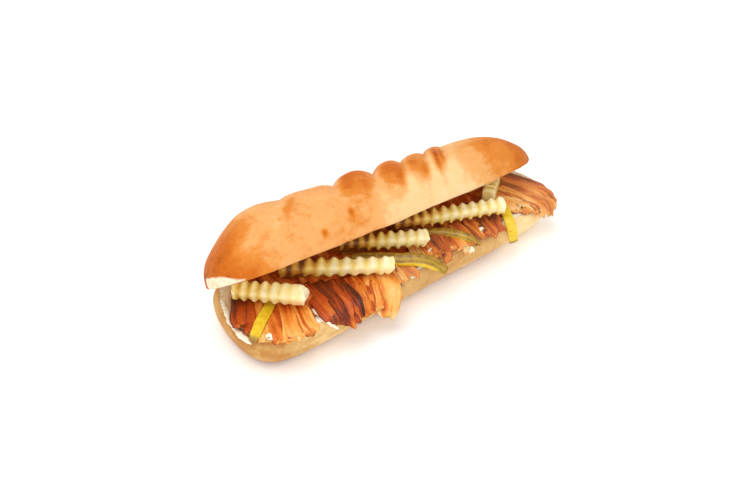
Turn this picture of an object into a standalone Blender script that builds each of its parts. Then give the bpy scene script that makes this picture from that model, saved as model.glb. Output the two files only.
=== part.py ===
"""Shawarma sandwich: a long soft roll, split and opened along its back edge, filled with
sliced meat on white sauce, crinkle-cut fries and pickle slices.

The roll lies along X with its mouth towards -Y. Sizes are in millimetres, and MM turns them
into the metres of the meshes. The origin is under the middle of the sandwich, on its base.
"""
import math
import random

import bmesh
import bpy
import numpy as np

MM = 0.001
GAP = 0.4                        # clearance between pieces that touch
CARVE = 0.65                     # growth of a neighbour that is cut out of the meat
ORIGIN = (-4.3, 1.4, 0.0)        # where the middle of the base lies in the sizes below

# Lower half of the roll: plan is a long blunt oval, a little wider at its left end
BASE_MIDDLE = -2.4
BASE_HALF_LENGTH = 122.0
BASE_WIDTH = 69.1
BASE_TAPER = -9.4                # change in width from the middle to the right end
BASE_END_POWER = 12.0
END_SLANT = (5.0, -7.0)          # how far its right end's corners lie beyond it in front and at the back
END_SLANT_POWER = 6              # how near to its end the slant starts
HINGE_Y = 40.6                   # back edge, where the two halves meet
HINGE_DRIFT = -0.8
HINGE_Z = 21.6
OVAL_ROOT = 1 / 2.2
RIM_HEIGHT = 23.2
RIM_INSET = 3.0
# crust profile from the flat base to the rim and over the cut face: (inset, height)
BASE_PROFILE = ((12.5, 0.0), (8.0, 1.0), (4.4, 4.0), (1.6, 9.0), (0.2, 15.0), (0.6, 20.4),
                (RIM_INSET, RIM_HEIGHT), (8.0, 22.2), (16.0, 21.2))
RIM_ROW = 6                      # place of the rim in the profile
CUT_FACE_MIDDLE = 20.6
BASE_STATIONS = 35
# slow unevenness of the crust: (height, run, start, shift from side to side)
CRUST_WAVES = ((0.7, 17.0, 0.0, 2.1), (0.5, 9.5, 4.0, 1.0))

# Upper half of the roll, turned up about the hinge
LID_MIDDLE = -7.2
LID_HALF_LENGTH = 121.4
LID_END_POWER = 4.04
LID_CROWN_POWER = 2.94           # the crown falls off towards the ends sooner than the plan
LID_OPENING = 34.96              # degrees at mid length
LID_TWIST = -2.42
LID_HEIGHT = 27.4
LID_HEIGHT_CHANGE = -5.0
LID_SECTION_POWER = 2.3
LID_SECTION_ROOT = 1 / 2.1
LID_HOLLOW = 2.0                 # dish of the cut face
LID_EDGE = 1.4                   # height of the lip below the crust
FLOOR_REACH = 0.96
DOME_STEPS = 15
FLOOR_STEPS = 4
LID_STATIONS = 27
# gentle swells of the crown: (middle, reach, height)
LID_SWELLS = ((-93.7, 31.9, 9.1), (81.5, 27.7, 7.6))
# puffed lobes side by side along the ridge: the valleys between them, and how far each stands out
LOBE_VALLEYS = (-71.4, -34.9, -5.9, 15.9, 34.1, 48.2)
LOBE_HEIGHTS = (4.3, 6.1, 4.5, 2.9, 2.4)
LOBE_ARC = 0.85                  # half width of a lobe as a share of its arc's radius
LOBE_STEPS = (-1.0, -0.88, -0.6, -0.2, 0.2, 0.6, 0.88)
LOBE_SLANT = 0.141               # how far stations lean to the left down the front side
LOBE_ROOT = 0.321                # the place across the crown about which they lean
LOBE_FADE_BACK = (-0.85, -0.35)  # across the crown, where lobes start and stand out in full
LOBE_FADE_FRONT = (0.05, 0.78)   # and where they start to fade and end
STATION_GAP = 0.03               # how near the lobes the other stations may lie

# Sauce spread on the lower cut face
SAUCE_INSET = 4.3
SAUCE_BACK_INSET = 9.5
SAUCE_FLAT_INSET = 16.0
SAUCE_DEPTH = 2.0
SAUCE_EDGE = 0.6                 # the underside ends this far inside the edge
SAUCE_SHOULDER = 1.2             # and the full depth starts this far inside it
SAUCE_WAVES = ((1.2, 6.5), (0.8, 2.9))
SAUCE_STATIONS = 37
SAUCE_BLOBS = ((-112.0, 3.0), (-70.0, 2.0), (-8.0, 3.4), (37.0, 3.2), (53.0, 2.2))
BLOB_WIDTH = 4.0

# Fries: (name, one end, other end, side, pitch of the ridges, lean of the ridges, turn, flare,
# share of a ridge's height on the two upright faces)
FRY_RIDGE = 1.25
FRY_CORNER = 0.72
RIDGE_ABOVE = 1.15               # share of it on the upper face
RIDGE_BELOW = 0.8                # and on the lower one
FRY_CORE = 0.4                   # the core is smaller than the side by this share of a ridge
RINGS_PER_RIDGE = 4
FRY_END = 0.9                    # the rounded ends stand out this far
FRY_END_SHARE = 0.86             # and have this share of the width
FRY_SECTION = ((1, -FRY_CORNER), (1, FRY_CORNER), (FRY_CORNER, 1), (-FRY_CORNER, 1), (-1, FRY_CORNER),
               (-1, -FRY_CORNER), (-FRY_CORNER, -1), (FRY_CORNER, -1))
FRIES = (
    ("fry_1", (-112.0, 11.2, 35.8), (-80.0, -18.7, 37.6), 11.4, 6.3, -0.2, 22.0, 0.1, 0.9),
    ("fry_2", (-79.5, 12.4, 35.9), (-20.5, -24.6, 36.6), 9.9, 7.9, -1.3, 12.0, 0.0, 0.4),
    ("fry_3", (-37.0, 11.2, 36.2), (12.0, -15.2, 36.8), 9.8, 6.3, -1.2, 8.0, 0.0, 0.5),
    ("fry_4", (3.0, 8.6, 36.2), (71.5, -16.4, 36.8), 9.8, 6.4, -1.3, 10.0, 0.0, 0.5),
    ("fry_5", (69.5, -3.6, 36.8), (88.0, 13.5, 31.6), 9.2, 6.3, -0.8, 0.0, 0.0, 0.5),
)

# Pickles: (name, path, half width, half thickness, taper of the ends, facing, section)
PICKLE_RINGS = 13
PICKLE_TAPER_POWER = 3.5         # how near to its ends a pickle starts to narrow
PICKLE_THINNING = 0.65           # how far the thickness follows the width
# a blade is rounded on the skin side above and flat on the cut side below
BLADE_SECTION = ((1, -0.1), (0.72, 0.7), (0.25, 1.0), (-0.3, 0.95), (-0.76, 0.6), (-1, -0.1),
                 (-0.6, -1.0), (0.6, -1.0))
STRIP_SECTION = ((1, -0.6), (1, 0.6), (0.75, 1.0), (-0.75, 1.0), (-1, 0.6), (-1, -0.6),
                 (-0.75, -1.0), (0.75, -1.0))
PICKLES = (
    ("pickle_1", ((-91.0, 1.5, 26.4), (-98.0, -5.0, 26.6), (-109.2, -14.5, 28.0), (-120.3, -24.2, 26.2)),
     3.5, 1.5, 0.15, (-0.2, -0.4, 0.9), STRIP_SECTION),
    ("pickle_2", ((-34.5, 2.0, 30.4), (-13.5, -15.3, 31.0), (2.5, -26.3, 30.2), (12.5, -36.5, 24.0)),
     4.3, 1.9, 0.42, (-0.3, -0.5, 0.8), BLADE_SECTION),
    ("pickle_3", ((17.0, 0.0, 28.4), (29.5, -9.5, 28.8), (38.0, -20.0, 28.6), (45.0, -29.0, 25.2)),
     3.2, 1.6, 0.7, (-0.3, -0.5, 0.8), BLADE_SECTION),
    ("pickle_4", ((79.0, -4.0, 28.4), (75.6, -14.5, 28.5), (72.3, -23.5, 26.8), (71.8, -27.8, 20.5),
                  (73.2, -28.0, 13.0)),
     3.3, 1.4, 0.15, (-0.35, -0.75, 0.5), STRIP_SECTION),
)

# Meat: a thin bed, and bunches of slices that lie over its front and right edges
BED_INSET = 8.5
BED_REACH = 0.985                # share of the cut face's length that the bed covers
BED_TOP = 28.8
BED_BUMP = 0.9
BED_STATIONS = 27
# (inset past BED_INSET or None for the middle, side, whether it is on the underside)
BED_ROWS = ((None, -1, True), (1.0, -1, True), (0.0, -1, False), (8.0, -1, False), (None, -1, False),
            (10.0, 1, False), (3.0, 1, False), (4.0, 1, True))
SLICE_RINGS = 5
SLICE_BENDS = (0.55, 0.6, 0.65, 0.7, 0.75, 0.8, 0.85, 0.9)  # shares of its way where one may bend down
SLICE_CLEARANCE = 3.0            # of its bend above the rim
SLICE_LIFT = 0.9                 # and the most that this may grow
SLICE_WIDTHS = (0.8, 1.0, 1.08, 1.0, 0.8)   # shares of the width from root to tip
SLICE_HEIGHTS = (1.0, 0.99, 0.94, 0.81, 0.55)
SLICE_UNEVEN = 0.12
SLICE_SECTION = ((1, 0.0), (0.35, 1.0), (-0.35, 0.8), (-1, 0.1), (-0.4, -1.0), (0.4, -0.9))
# (roots from left to right, tips from left to right, slices, half width, half thickness)
BUNCHES = (
    (((-109.0, 12.5, 28.0), (-97.0, 0.0, 28.0), (-83.5, -11.0, 28.5)),
     ((-119.5, -9.0, 26.6), (-115.5, -26.0, 26.2), (-104.5, -35.5, 25.2), (-90.0, -36.0, 24.6)), 6, 5.6, 1.2),
    (((-71.0, -1.0, 28.5), (-47.0, -12.0, 29.0)),
     ((-70.5, -33.0, 22.0), (-63.5, -43.0, 17.5), (-51.0, -42.0, 18.5)), 5, 4.8, 1.3),
    (((-46.0, -12.0, 29.0), (-26.0, -20.0, 29.0)),
     ((-49.0, -34.0, 18.5), (-38.0, -41.0, 13.4)), 3, 7.0, 1.2),
    (((-24.0, -15.0, 28.5), (-10.0, -18.0, 28.5)),
     ((-24.5, -31.0, 25.0), (-11.0, -29.0, 25.4)), 3, 3.8, 1.2),
    (((6.0, -6.0, 28.5), (32.0, -10.0, 28.5)),
     ((3.0, -22.0, 26.1), (31.0, -25.5, 25.6)), 5, 4.6, 1.2),
    (((40.0, -4.0, 28.5), (68.0, -10.0, 28.5)),
     ((40.0, -25.0, 25.6), (63.0, -25.5, 25.4)), 4, 4.4, 1.2),
    (((77.0, 1.0, 28.5), (89.0, 12.0, 28.3), (99.5, 20.0, 27.5)),
     ((86.0, -15.0, 26.4), (96.5, -23.0, 19.5), (106.5, -25.0, 15.8), (113.0, -22.0, 16.4),
      (114.0, -10.0, 20.5)), 7, 5.0, 1.3),
)


def clear_scene():
    for item in list(bpy.data.objects):
        bpy.data.objects.remove(item, do_unlink=True)


def make_material(name, color, roughness):
    material = bpy.data.materials.new(name)
    material.use_nodes = True
    shader = material.node_tree.nodes["Principled BSDF"]
    shader.inputs["Base Color"].default_value = (*color, 1.0)
    shader.inputs["Roughness"].default_value = roughness
    return material


def add_body(name, points, faces, material):
    """Make one closed mesh object from points in millimetres."""
    mesh = bpy.data.meshes.new(name)
    mesh.from_pydata([tuple((c - o) * MM for c, o in zip(p, ORIGIN)) for p in points], [], faces)
    body = bpy.data.objects.new(name, mesh)
    bpy.context.collection.objects.link(body)
    shape = bmesh.new()
    shape.from_mesh(mesh)
    bmesh.ops.remove_doubles(shape, verts=shape.verts, dist=1e-6)
    bmesh.ops.triangulate(shape, faces=shape.faces)
    bmesh.ops.recalc_face_normals(shape, faces=shape.faces)
    shape.to_mesh(mesh)
    shape.free()
    mesh.materials.append(material)
    mesh.shade_smooth()
    return body


def tube_faces(ring_count, ring_size, capped):
    """Quads between neighbouring rings, with a face over each end ring if capped."""
    faces = []
    for i in range(ring_count - 1):
        for j in range(ring_size):
            k = (j + 1) % ring_size
            near, far = i * ring_size, (i + 1) * ring_size
            faces.append((near + j, near + k, far + k, far + j))
    if capped:
        faces.append(tuple(range(ring_size))[::-1])
        faces.append(tuple((ring_count - 1) * ring_size + j for j in range(ring_size)))
    return faces


def end_spaced(count):
    """Places from -1 to 1 that lie closer together towards both ends."""
    return [math.sin(math.pi / 2 * (2 * i / (count - 1) - 1)) for i in range(count)]


def oval(t, power):
    """Half width of a long oval at place t, as a share of the widest."""
    return max(0.0, 1 - abs(t) ** power) ** OVAL_ROOT


def smooth_step(value, low, high):
    s = min(1.0, max(0.0, (value - low) / (high - low)))
    return s * s * (3 - 2 * s)


def crust_wobble(x, side):
    """Slow unevenness of the crust, in millimetres."""
    return sum(height * math.sin(x / run + start + shift * side) for height, run, start, shift in CRUST_WAVES)


def base_point(t, inset, height, side):
    """A point of the lower half on the line that runs round it at one height."""
    width = BASE_WIDTH + BASE_TAPER * t
    middle = HINGE_Y + HINGE_DRIFT * t - width / 2
    x = BASE_MIDDLE + (BASE_HALF_LENGTH - inset) * t
    bulge = crust_wobble(x, side) * smooth_step(height, 0, 12) if side < 0 else 0.0
    half = max(0.0, width / 2 - inset + bulge) * oval(t, BASE_END_POWER)
    slant = END_SLANT[0 if side < 0 else 1] * 2 * half / width * max(0.0, t) ** END_SLANT_POWER
    return (x + slant, middle + side * half, height)


def cut_face_height(t, inset):
    """Height of the lower cut face at an inset from its edge."""
    half = (BASE_WIDTH + BASE_TAPER * t) / 2
    rows = [(i, z) for i, z in BASE_PROFILE[RIM_ROW:]] + [(half, CUT_FACE_MIDDLE)]
    return float(np.interp(inset, [i for i, _ in rows], [z for _, z in rows]))


def make_roll_bottom(material):
    points = []
    places = end_spaced(BASE_STATIONS)
    for t in places:
        half = (BASE_WIDTH + BASE_TAPER * t) / 2
        ring = [base_point(t, half, 0.0, -1)]
        ring += [base_point(t, inset, height, -1) for inset, height in BASE_PROFILE]
        ring += [base_point(t, half, CUT_FACE_MIDDLE, -1)]
        ring += [base_point(t, inset, height, 1) for inset, height in reversed(BASE_PROFILE)]
        points += ring
    faces = tube_faces(len(places), len(BASE_PROFILE) * 2 + 2, False)
    return add_body("roll_bottom", points, faces, material)


def lid_width(t):
    return BASE_WIDTH + BASE_TAPER * t


def lobe_height(place, across):
    """How far the puffed lobes stand out of the crown of the upper half."""
    foot = math.sqrt(1 - LOBE_ARC ** 2)
    height = 0.0
    for left, right, high in zip(LOBE_VALLEYS, LOBE_VALLEYS[1:], LOBE_HEIGHTS):
        offset = min(1.0, abs(2 * place - left - right) / (right - left))
        height = max(height, high * (math.sqrt(1 - (LOBE_ARC * offset) ** 2) - foot) / (1 - foot))
    return height * smooth_step(across, *LOBE_FADE_BACK) * (1 - smooth_step(across, *LOBE_FADE_FRONT))


def lean_station(station, across):
    """Place along the lid, from -1 to 1, of a station that leans with the lobes."""
    return station - LOBE_SLANT * (across - LOBE_ROOT) * (1 - station ** 4)


def lid_point(t, across, rise):
    """A point of the upper half. across runs from -1 at the hinge side to 1 at the lip,
    and rise is the height over its cut face."""
    opening = math.radians(LID_OPENING + LID_TWIST * t)
    out = lid_width(t) / 2 * (1 + across * oval(t, LID_END_POWER))
    y = HINGE_Y + HINGE_DRIFT * t - out * math.cos(opening) + rise * math.sin(opening)
    return (LID_MIDDLE + LID_HALF_LENGTH * t, y, HINGE_Z + out * math.sin(opening) + rise * math.cos(opening))


def dome_point(station, across):
    """A point on the crust of the upper half."""
    t = lean_station(station, across)
    end = oval(t, LID_END_POWER)
    x = LID_MIDDLE + LID_HALF_LENGTH * t
    place = LID_MIDDLE + LID_HALF_LENGTH * station
    height = (LID_HEIGHT + LID_HEIGHT_CHANGE * t) * oval(t, LID_CROWN_POWER)
    height += end * sum(high * math.exp(-(((x - middle) / reach) ** 2)) for middle, reach, high in LID_SWELLS)
    rise = LID_EDGE * end + height * max(0.0, 1 - abs(across) ** LID_SECTION_POWER) ** LID_SECTION_ROOT
    relief = (crust_wobble(x, across) + lobe_height(place, across)) * end
    lean = math.sqrt(max(0.0, 1 - across * across))
    return lid_point(t, across * (1 + relief * abs(across) / lid_width(t)), rise + relief * lean)


def lid_stations():
    """Stations along the lid, closer together at the ends and in the valleys between lobes."""
    places = []
    for left, right in zip(LOBE_VALLEYS, LOBE_VALLEYS[1:]):
        places += [(left + right + step * (right - left)) / 2 for step in LOBE_STEPS]
    places.append(LOBE_VALLEYS[-1])
    lobed = [(place - LID_MIDDLE) / LID_HALF_LENGTH for place in places]
    smooth = [t for t in end_spaced(LID_STATIONS) if not lobed[0] - STATION_GAP < t < lobed[-1] + STATION_GAP]
    return sorted(lobed + smooth)


def make_roll_top(material):
    places = lid_stations()
    points = []
    for station in places:
        for i in range(DOME_STEPS + 1):
            points.append(dome_point(station, -math.cos(math.pi * i / DOME_STEPS)))
        for i in range(FLOOR_STEPS + 1):
            across = FLOOR_REACH * (1 - 2 * i / FLOOR_STEPS)
            t = lean_station(station, across)
            hollow = LID_HOLLOW * oval(t, LID_END_POWER) * (1 - across * across)
            points.append(lid_point(t, across, hollow))
    faces = tube_faces(len(places), DOME_STEPS + FLOOR_STEPS + 2, False)
    return add_body("roll_top", points, faces, material)


def sauce_inset(t, side):
    """Inset of the sauce's edge, with blobs that push out over the front rim."""
    x = BASE_MIDDLE + BASE_HALF_LENGTH * t
    side_share = side * (1 - abs(t) ** BASE_END_POWER)
    edge = SAUCE_INSET + (SAUCE_BACK_INSET - SAUCE_INSET) * max(0.0, side_share)
    inset = edge + sum(height * math.sin(x / run + side_share) for height, run in SAUCE_WAVES)
    for middle, push in SAUCE_BLOBS:
        inset -= push * max(0.0, -side_share) * math.exp(-(((x - middle) / BLOB_WIDTH) ** 2))
    return max(inset, RIM_INSET)


def make_sauce(material):
    points = []
    places = end_spaced(SAUCE_STATIONS)
    for t in places:
        half = (BASE_WIDTH + BASE_TAPER * t) / 2
        front, back = sauce_inset(t, -1), sauce_inset(t, 1)
        flat, top = SAUCE_FLAT_INSET, SAUCE_DEPTH
        rows = ((half, GAP, -1), (flat, GAP, -1), (front + SAUCE_EDGE, GAP, -1), (front, top / 2, -1),
                (front + SAUCE_SHOULDER, top, -1), (flat, top, -1), (half, top, -1), (flat, top, 1),
                (back + SAUCE_SHOULDER, top, 1), (back, top / 2, 1), (back + SAUCE_EDGE, GAP, 1),
                (flat, GAP, 1))
        points += [base_point(t, inset, cut_face_height(t, inset) + lift, side) for inset, lift, side in rows]
    return add_body("sauce", points, tube_faces(len(places), len(rows), False), material)


def unit(vector):
    return vector / np.linalg.norm(vector)


def make_fry(spec, material):
    """A square stick whose four faces carry ridges that lean along it."""
    name, start, end, side, pitch, lean, turn, flare, ridge_across = spec
    start, end = np.array(start), np.array(end)
    length = float(np.linalg.norm(end - start))
    along = unit(end - start)
    level = unit(np.cross((0.0, 0.0, 1.0), along))
    upright = np.cross(along, level)
    angle = math.radians(turn)
    wide = level * math.cos(angle) + upright * math.sin(angle)
    tall = upright * math.cos(angle) - level * math.sin(angle)
    count = round(length / pitch * RINGS_PER_RIDGE)
    runs = [0.0] + [length * i / count for i in range(count + 1)] + [length]
    points = []
    for i, run in enumerate(runs):
        at_end = i in (0, len(runs) - 1)
        reach = FRY_END_SHARE if at_end else 1.0
        offset = -FRY_END if i == 0 else (FRY_END if at_end else 0.0)
        grow = 1 + flare * (2 * run / length - 1)
        for a, b in FRY_SECTION:
            wave = FRY_RIDGE * math.cos(2 * math.pi * run / pitch + lean * (a + b) / 2)
            core = side / 2 - FRY_RIDGE * FRY_CORE
            ridge = RIDGE_BELOW + (RIDGE_ABOVE - RIDGE_BELOW) * (1 + b) / 2
            out = a * (core + ridge_across * wave) * reach * grow
            up = b * (core + ridge * wave) * reach * grow
            points.append(start + along * (run + offset) + wide * out + tall * up)
    return add_body(name, points, tube_faces(len(runs), len(FRY_SECTION), True), material)


def curve_through(knots, count):
    """Points of a smooth curve through the knots, evenly spaced by parameter."""
    knots = [np.array(k, dtype=float) for k in knots]
    padded = [2 * knots[0] - knots[1]] + knots + [2 * knots[-1] - knots[-2]]
    points = []
    for i in range(count):
        place = (len(knots) - 1) * i / (count - 1)
        k = min(int(place), len(knots) - 2)
        s = place - k
        a, b, c, d = padded[k:k + 4]
        points.append(0.5 * (2 * b + (c - a) * s + (2 * a - 5 * b + 4 * c - d) * s * s
                             + (3 * b - 3 * c + d - a) * s ** 3))
    return points


def sweep(path, half_widths, half_heights, facing, section):
    """Rings of one section along a path, its flat side turned to face one way."""
    points = []
    for i, middle in enumerate(path):
        along = unit(path[min(i + 1, len(path) - 1)] - path[max(i - 1, 0)])
        wide = unit(np.cross(along, facing))
        tall = np.cross(wide, along)
        points += [middle + wide * a * half_widths[i] + tall * b * half_heights[i] for a, b in section]
    return points


def make_pickle(spec, material):
    """A long slice that may narrow towards its ends."""
    name, knots, half_width, half_height, taper, facing, section = spec
    path = curve_through(knots, PICKLE_RINGS)
    shares = []
    for i in range(PICKLE_RINGS):
        t = abs(2 * i / (PICKLE_RINGS - 1) - 1)
        shares.append(1 - taper * t ** PICKLE_TAPER_POWER)
    widths = [half_width * s for s in shares]
    heights = [half_height * (1 - PICKLE_THINNING * (1 - s)) for s in shares]
    points = sweep(path, widths, heights, np.array(facing), section)
    return add_body(name, points, tube_faces(PICKLE_RINGS, len(section), True), material)


def between(knots, share):
    """The point at a share of the way along a chain of knots."""
    place = share * (len(knots) - 1)
    k = min(int(place), len(knots) - 2)
    return np.array(knots[k]) + (np.array(knots[k + 1]) - np.array(knots[k])) * (place - k)


def rest_height(x, y):
    """Height of what a slice rests on at a place, or zero outside the roll."""
    t = (x - BASE_MIDDLE) / BASE_HALF_LENGTH
    half = (BASE_WIDTH + BASE_TAPER * t) / 2
    away = abs(y - (HINGE_Y + HINGE_DRIFT * t - half))
    inset = half * oval(t, BASE_END_POWER) - away
    if inset < 0:
        return 0.0
    return cut_face_height(t, inset) + (SAUCE_DEPTH if inset > SAUCE_INSET - 2 else 0.0)


def make_slice(name, root, tip, half_width, half_height, rng, material):
    """One slice of meat that runs from under the fries out over the rim."""
    on_roll = [share for share in SLICE_BENDS if rest_height(*(root + (tip - root) * share)[:2]) > 0]
    middle = root + (tip - root) * max(on_roll, default=SLICE_BENDS[0])
    middle[2] = max(middle[2], RIM_HEIGHT + SLICE_CLEARANCE) + rng.uniform(0.0, SLICE_LIFT)
    path = curve_through((root, middle, tip), SLICE_RINGS)
    for point in path:
        point[2] = max(point[2], rest_height(point[0], point[1]) + half_height + CARVE)
    low, high = 1 - SLICE_UNEVEN, 1 + SLICE_UNEVEN
    widths = [half_width * share * rng.uniform(low, high) for share in SLICE_WIDTHS]
    heights = [half_height * share * rng.uniform(low, high) for share in SLICE_HEIGHTS]
    facing = unit(np.array((rng.uniform(-0.4, 0.1), -0.35, 0.9)))
    points = sweep(path, widths, heights, facing, SLICE_SECTION)
    return add_body(name, points, tube_faces(SLICE_RINGS, len(SLICE_SECTION), True), material)


def make_bed(material):
    """The flat layer of meat that the fries and pickles lie on."""
    points = []
    places = [BED_REACH * t for t in end_spaced(BED_STATIONS)]
    for t in places:
        half = (BASE_WIDTH + BASE_TAPER * t) / 2
        for past, side, lower in BED_ROWS:
            inset = half if past is None else BED_INSET + past
            x, y, _ = base_point(t, inset, 0.0, side)
            floor = cut_face_height(t, inset) + SAUCE_DEPTH + CARVE + GAP
            opening = math.radians(LID_OPENING + LID_TWIST * t)
            roof = HINGE_Z + (HINGE_Y - y) * math.tan(opening) - 1.0
            top = BED_TOP + BED_BUMP * (math.sin(x / 5.3 + y / 4.0) + 0.6 * math.sin(x / 2.7 - y / 3.1))
            points.append((x, y, floor if lower else min(top, roof)))
    return add_body("meat", points, tube_faces(len(places), len(BED_ROWS), True), material)


def apply_modifiers(body):
    graph = bpy.context.evaluated_depsgraph_get()
    mesh = bpy.data.meshes.new_from_object(body.evaluated_get(graph))
    body.modifiers.clear()
    body.data = mesh


def fuse(body, others):
    """Join the other bodies to this one and remove them."""
    group = bpy.data.collections.new("fused")
    bpy.context.scene.collection.children.link(group)
    for other in others:
        group.objects.link(other)
    union = body.modifiers.new("union", "BOOLEAN")
    union.operation = "UNION"
    union.operand_type = "COLLECTION"
    union.collection = group
    union.solver = "MANIFOLD"
    apply_modifiers(body)
    for other in others:
        bpy.data.objects.remove(other, do_unlink=True)
    bpy.data.collections.remove(group)


def carve(body, neighbour):
    """Cut a slightly grown copy of a neighbour out of this body."""
    cutter = neighbour.copy()
    cutter.data = neighbour.data.copy()
    bpy.context.collection.objects.link(cutter)
    shape = bmesh.new()
    shape.from_mesh(cutter.data)
    shape.normal_update()
    moves = [(v, v.normal.copy()) for v in shape.verts]
    for vertex, normal in moves:
        vertex.co += normal * CARVE * MM
    shape.to_mesh(cutter.data)
    shape.free()
    cut = body.modifiers.new("cut", "BOOLEAN")
    cut.operation = "DIFFERENCE"
    cut.object = cutter
    cut.solver = "MANIFOLD"
    apply_modifiers(body)
    bpy.data.objects.remove(cutter, do_unlink=True)


def keep_largest(body):
    """Drop loose scraps and flat slivers that cutting leaves."""
    shape = bmesh.new()
    shape.from_mesh(body.data)
    bmesh.ops.remove_doubles(shape, verts=shape.verts, dist=1e-6)
    bmesh.ops.triangulate(shape, faces=shape.faces)
    left = set(shape.faces)
    pieces = []
    while left:
        front = [left.pop()]
        piece = list(front)
        while front:
            face = front.pop()
            for edge in face.edges:
                for other in edge.link_faces:
                    if other in left:
                        left.remove(other)
                        front.append(other)
                        piece.append(other)
        pieces.append(piece)
    largest = max(pieces, key=lambda piece: sum(face.calc_area() for face in piece))
    scraps = [face for piece in pieces if piece is not largest for face in piece]
    bmesh.ops.delete(shape, geom=scraps, context="FACES")
    bmesh.ops.recalc_face_normals(shape, faces=shape.faces)
    shape.to_mesh(body.data)
    shape.free()


def make_meat(material, neighbours):
    rng = random.Random(7)
    meat = make_bed(material)
    slices = []
    for roots, tips, count, half_width, half_height in BUNCHES:
        for i in range(count):
            share = i / (count - 1)
            root = between(roots, share) + np.array([rng.uniform(-1, 1), rng.uniform(-1, 1), 0.0])
            tip = between(tips, share) + np.array([rng.uniform(-1, 1), rng.uniform(-2, 1), 0.0])
            width = half_width * rng.uniform(0.85, 1.15)
            slices.append(make_slice("slice", root, tip, width, half_height, rng, material))
    fuse(meat, slices)
    for neighbour in neighbours:
        carve(meat, neighbour)
    keep_largest(meat)
    meat.data.shade_smooth()
    return meat


def main():
    clear_scene()
    crust = make_material("crust", (0.78, 0.46, 0.20), 0.55)
    sauce_white = make_material("sauce", (0.93, 0.88, 0.76), 0.4)
    potato = make_material("potato", (0.88, 0.76, 0.40), 0.5)
    pickle_green = make_material("pickle", (0.62, 0.52, 0.06), 0.35)
    meat_brown = make_material("meat", (0.55, 0.21, 0.06), 0.5)
    roll_bottom = make_roll_bottom(crust)
    roll_top = make_roll_top(crust)
    sauce = make_sauce(sauce_white)
    fries = [make_fry(spec, potato) for spec in FRIES]
    pickles = [make_pickle(spec, pickle_green) for spec in PICKLES]
    make_meat(meat_brown, [roll_bottom, roll_top, sauce] + fries + pickles)


main()
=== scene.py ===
"""The looks of the shawarma sandwich: crust, crumb, sauce, sliced meat, crinkle-cut fries and pickles.

Each piece is worked out from the same named sizes as the solids, in millimetres with Z up, and MM
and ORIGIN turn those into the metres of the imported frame. The roll lies along X, its mouth
towards -Y. Values stored on the points (how brown, how much crumb, how dark) drive the materials.
"""

import math
import random
from collections import namedtuple
from itertools import chain, count, product

import bmesh
import bpy
import numpy as np
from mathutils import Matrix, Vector
from mathutils.bvhtree import BVHTree

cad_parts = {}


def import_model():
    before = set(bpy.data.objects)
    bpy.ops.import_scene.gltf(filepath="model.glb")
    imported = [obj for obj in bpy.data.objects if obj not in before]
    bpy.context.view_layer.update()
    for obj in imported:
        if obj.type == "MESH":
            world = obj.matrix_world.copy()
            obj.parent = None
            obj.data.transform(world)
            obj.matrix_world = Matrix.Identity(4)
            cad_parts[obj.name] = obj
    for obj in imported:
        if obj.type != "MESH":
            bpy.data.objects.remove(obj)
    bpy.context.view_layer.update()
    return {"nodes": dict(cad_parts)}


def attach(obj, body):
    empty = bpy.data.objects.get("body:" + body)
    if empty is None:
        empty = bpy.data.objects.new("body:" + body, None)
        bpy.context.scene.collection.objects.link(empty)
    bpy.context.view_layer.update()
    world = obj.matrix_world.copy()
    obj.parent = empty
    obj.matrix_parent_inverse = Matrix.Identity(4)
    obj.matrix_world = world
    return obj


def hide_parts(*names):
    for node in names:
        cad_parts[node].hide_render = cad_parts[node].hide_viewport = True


MM = 0.001
ORIGIN = np.array((-4.3, 1.4, 0.0))  # where the middle of the base lies in the sizes below

# Noise that lifts or mottles a surface is given below as (amount, size of its lumps, layers, seed),
# and a change of tone as (amount, where it starts, where it is full).

# Lower half of the roll
BASE_MIDDLE = -2.4
BASE_HALF_LENGTH = 122.0
BASE_WIDTH = 69.1
BASE_TAPER = -9.4
BASE_END_POWER = 12.0
END_SLANT = (5.0, -7.0)  # how far its right end's corners lie beyond it in front and at the back
END_SLANT_POWER = 6  # how near to its end the slant starts
HINGE_Y = 40.6
HINGE_DRIFT = -0.8
HINGE_Z = 21.6
OVAL_ROOT = 1 / 2.2  # how round the ends of both halves are
RIM_INSET = 3.0
RIM_HEIGHT = 23.2
# crust from the flat base up to the rim, then from its top over the cut face: (inset, height)
SIDE_PROFILE = ((12.5, 0.0), (8.0, 1.0), (4.4, 4.0), (1.6, 9.0), (0.2, 15.0), (0.6, 20.4),
                (RIM_INSET, RIM_HEIGHT))
CUT_PROFILE = ((0.6, 20.4), (RIM_INSET, RIM_HEIGHT), (8.0, 22.2), (16.0, 21.2))
CUT_FACE_MIDDLE = 20.6
# slow unevenness of the crust: (height, run, start, shift from side to side)
CRUST_WAVES = ((0.7, 17.0, 0.0, 2.1), (0.5, 9.5, 4.0, 1.0))
BULGE_HEIGHT = 12.0  # it grows to its full depth at this height
BASE_RELIEF = ((0.18, 9, 2, 11), (0.06, 1.6, 1, 13))
BASE_PORES = (2.1, 0.35, 1.1, 1.1, 0.22, 17)  # size, how closed, depth, size and height of grain, seed
BASE_SMOOTH_BELOW = (0.5, 5.0)  # it is smooth near the floor
BASE_SMOOTH_END = 0.02  # and at its very ends
CUT_SPACING = 1.5  # rows of its cut face lie closer at the rim as this grows
CRUMB_START = (3.2, 4.6)  # crust turns into crumb between these insets
CRUMB_RAGGED = 1.4  # this line wanders so far
CRUMB_RAG_SIZE = 2.4
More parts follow.
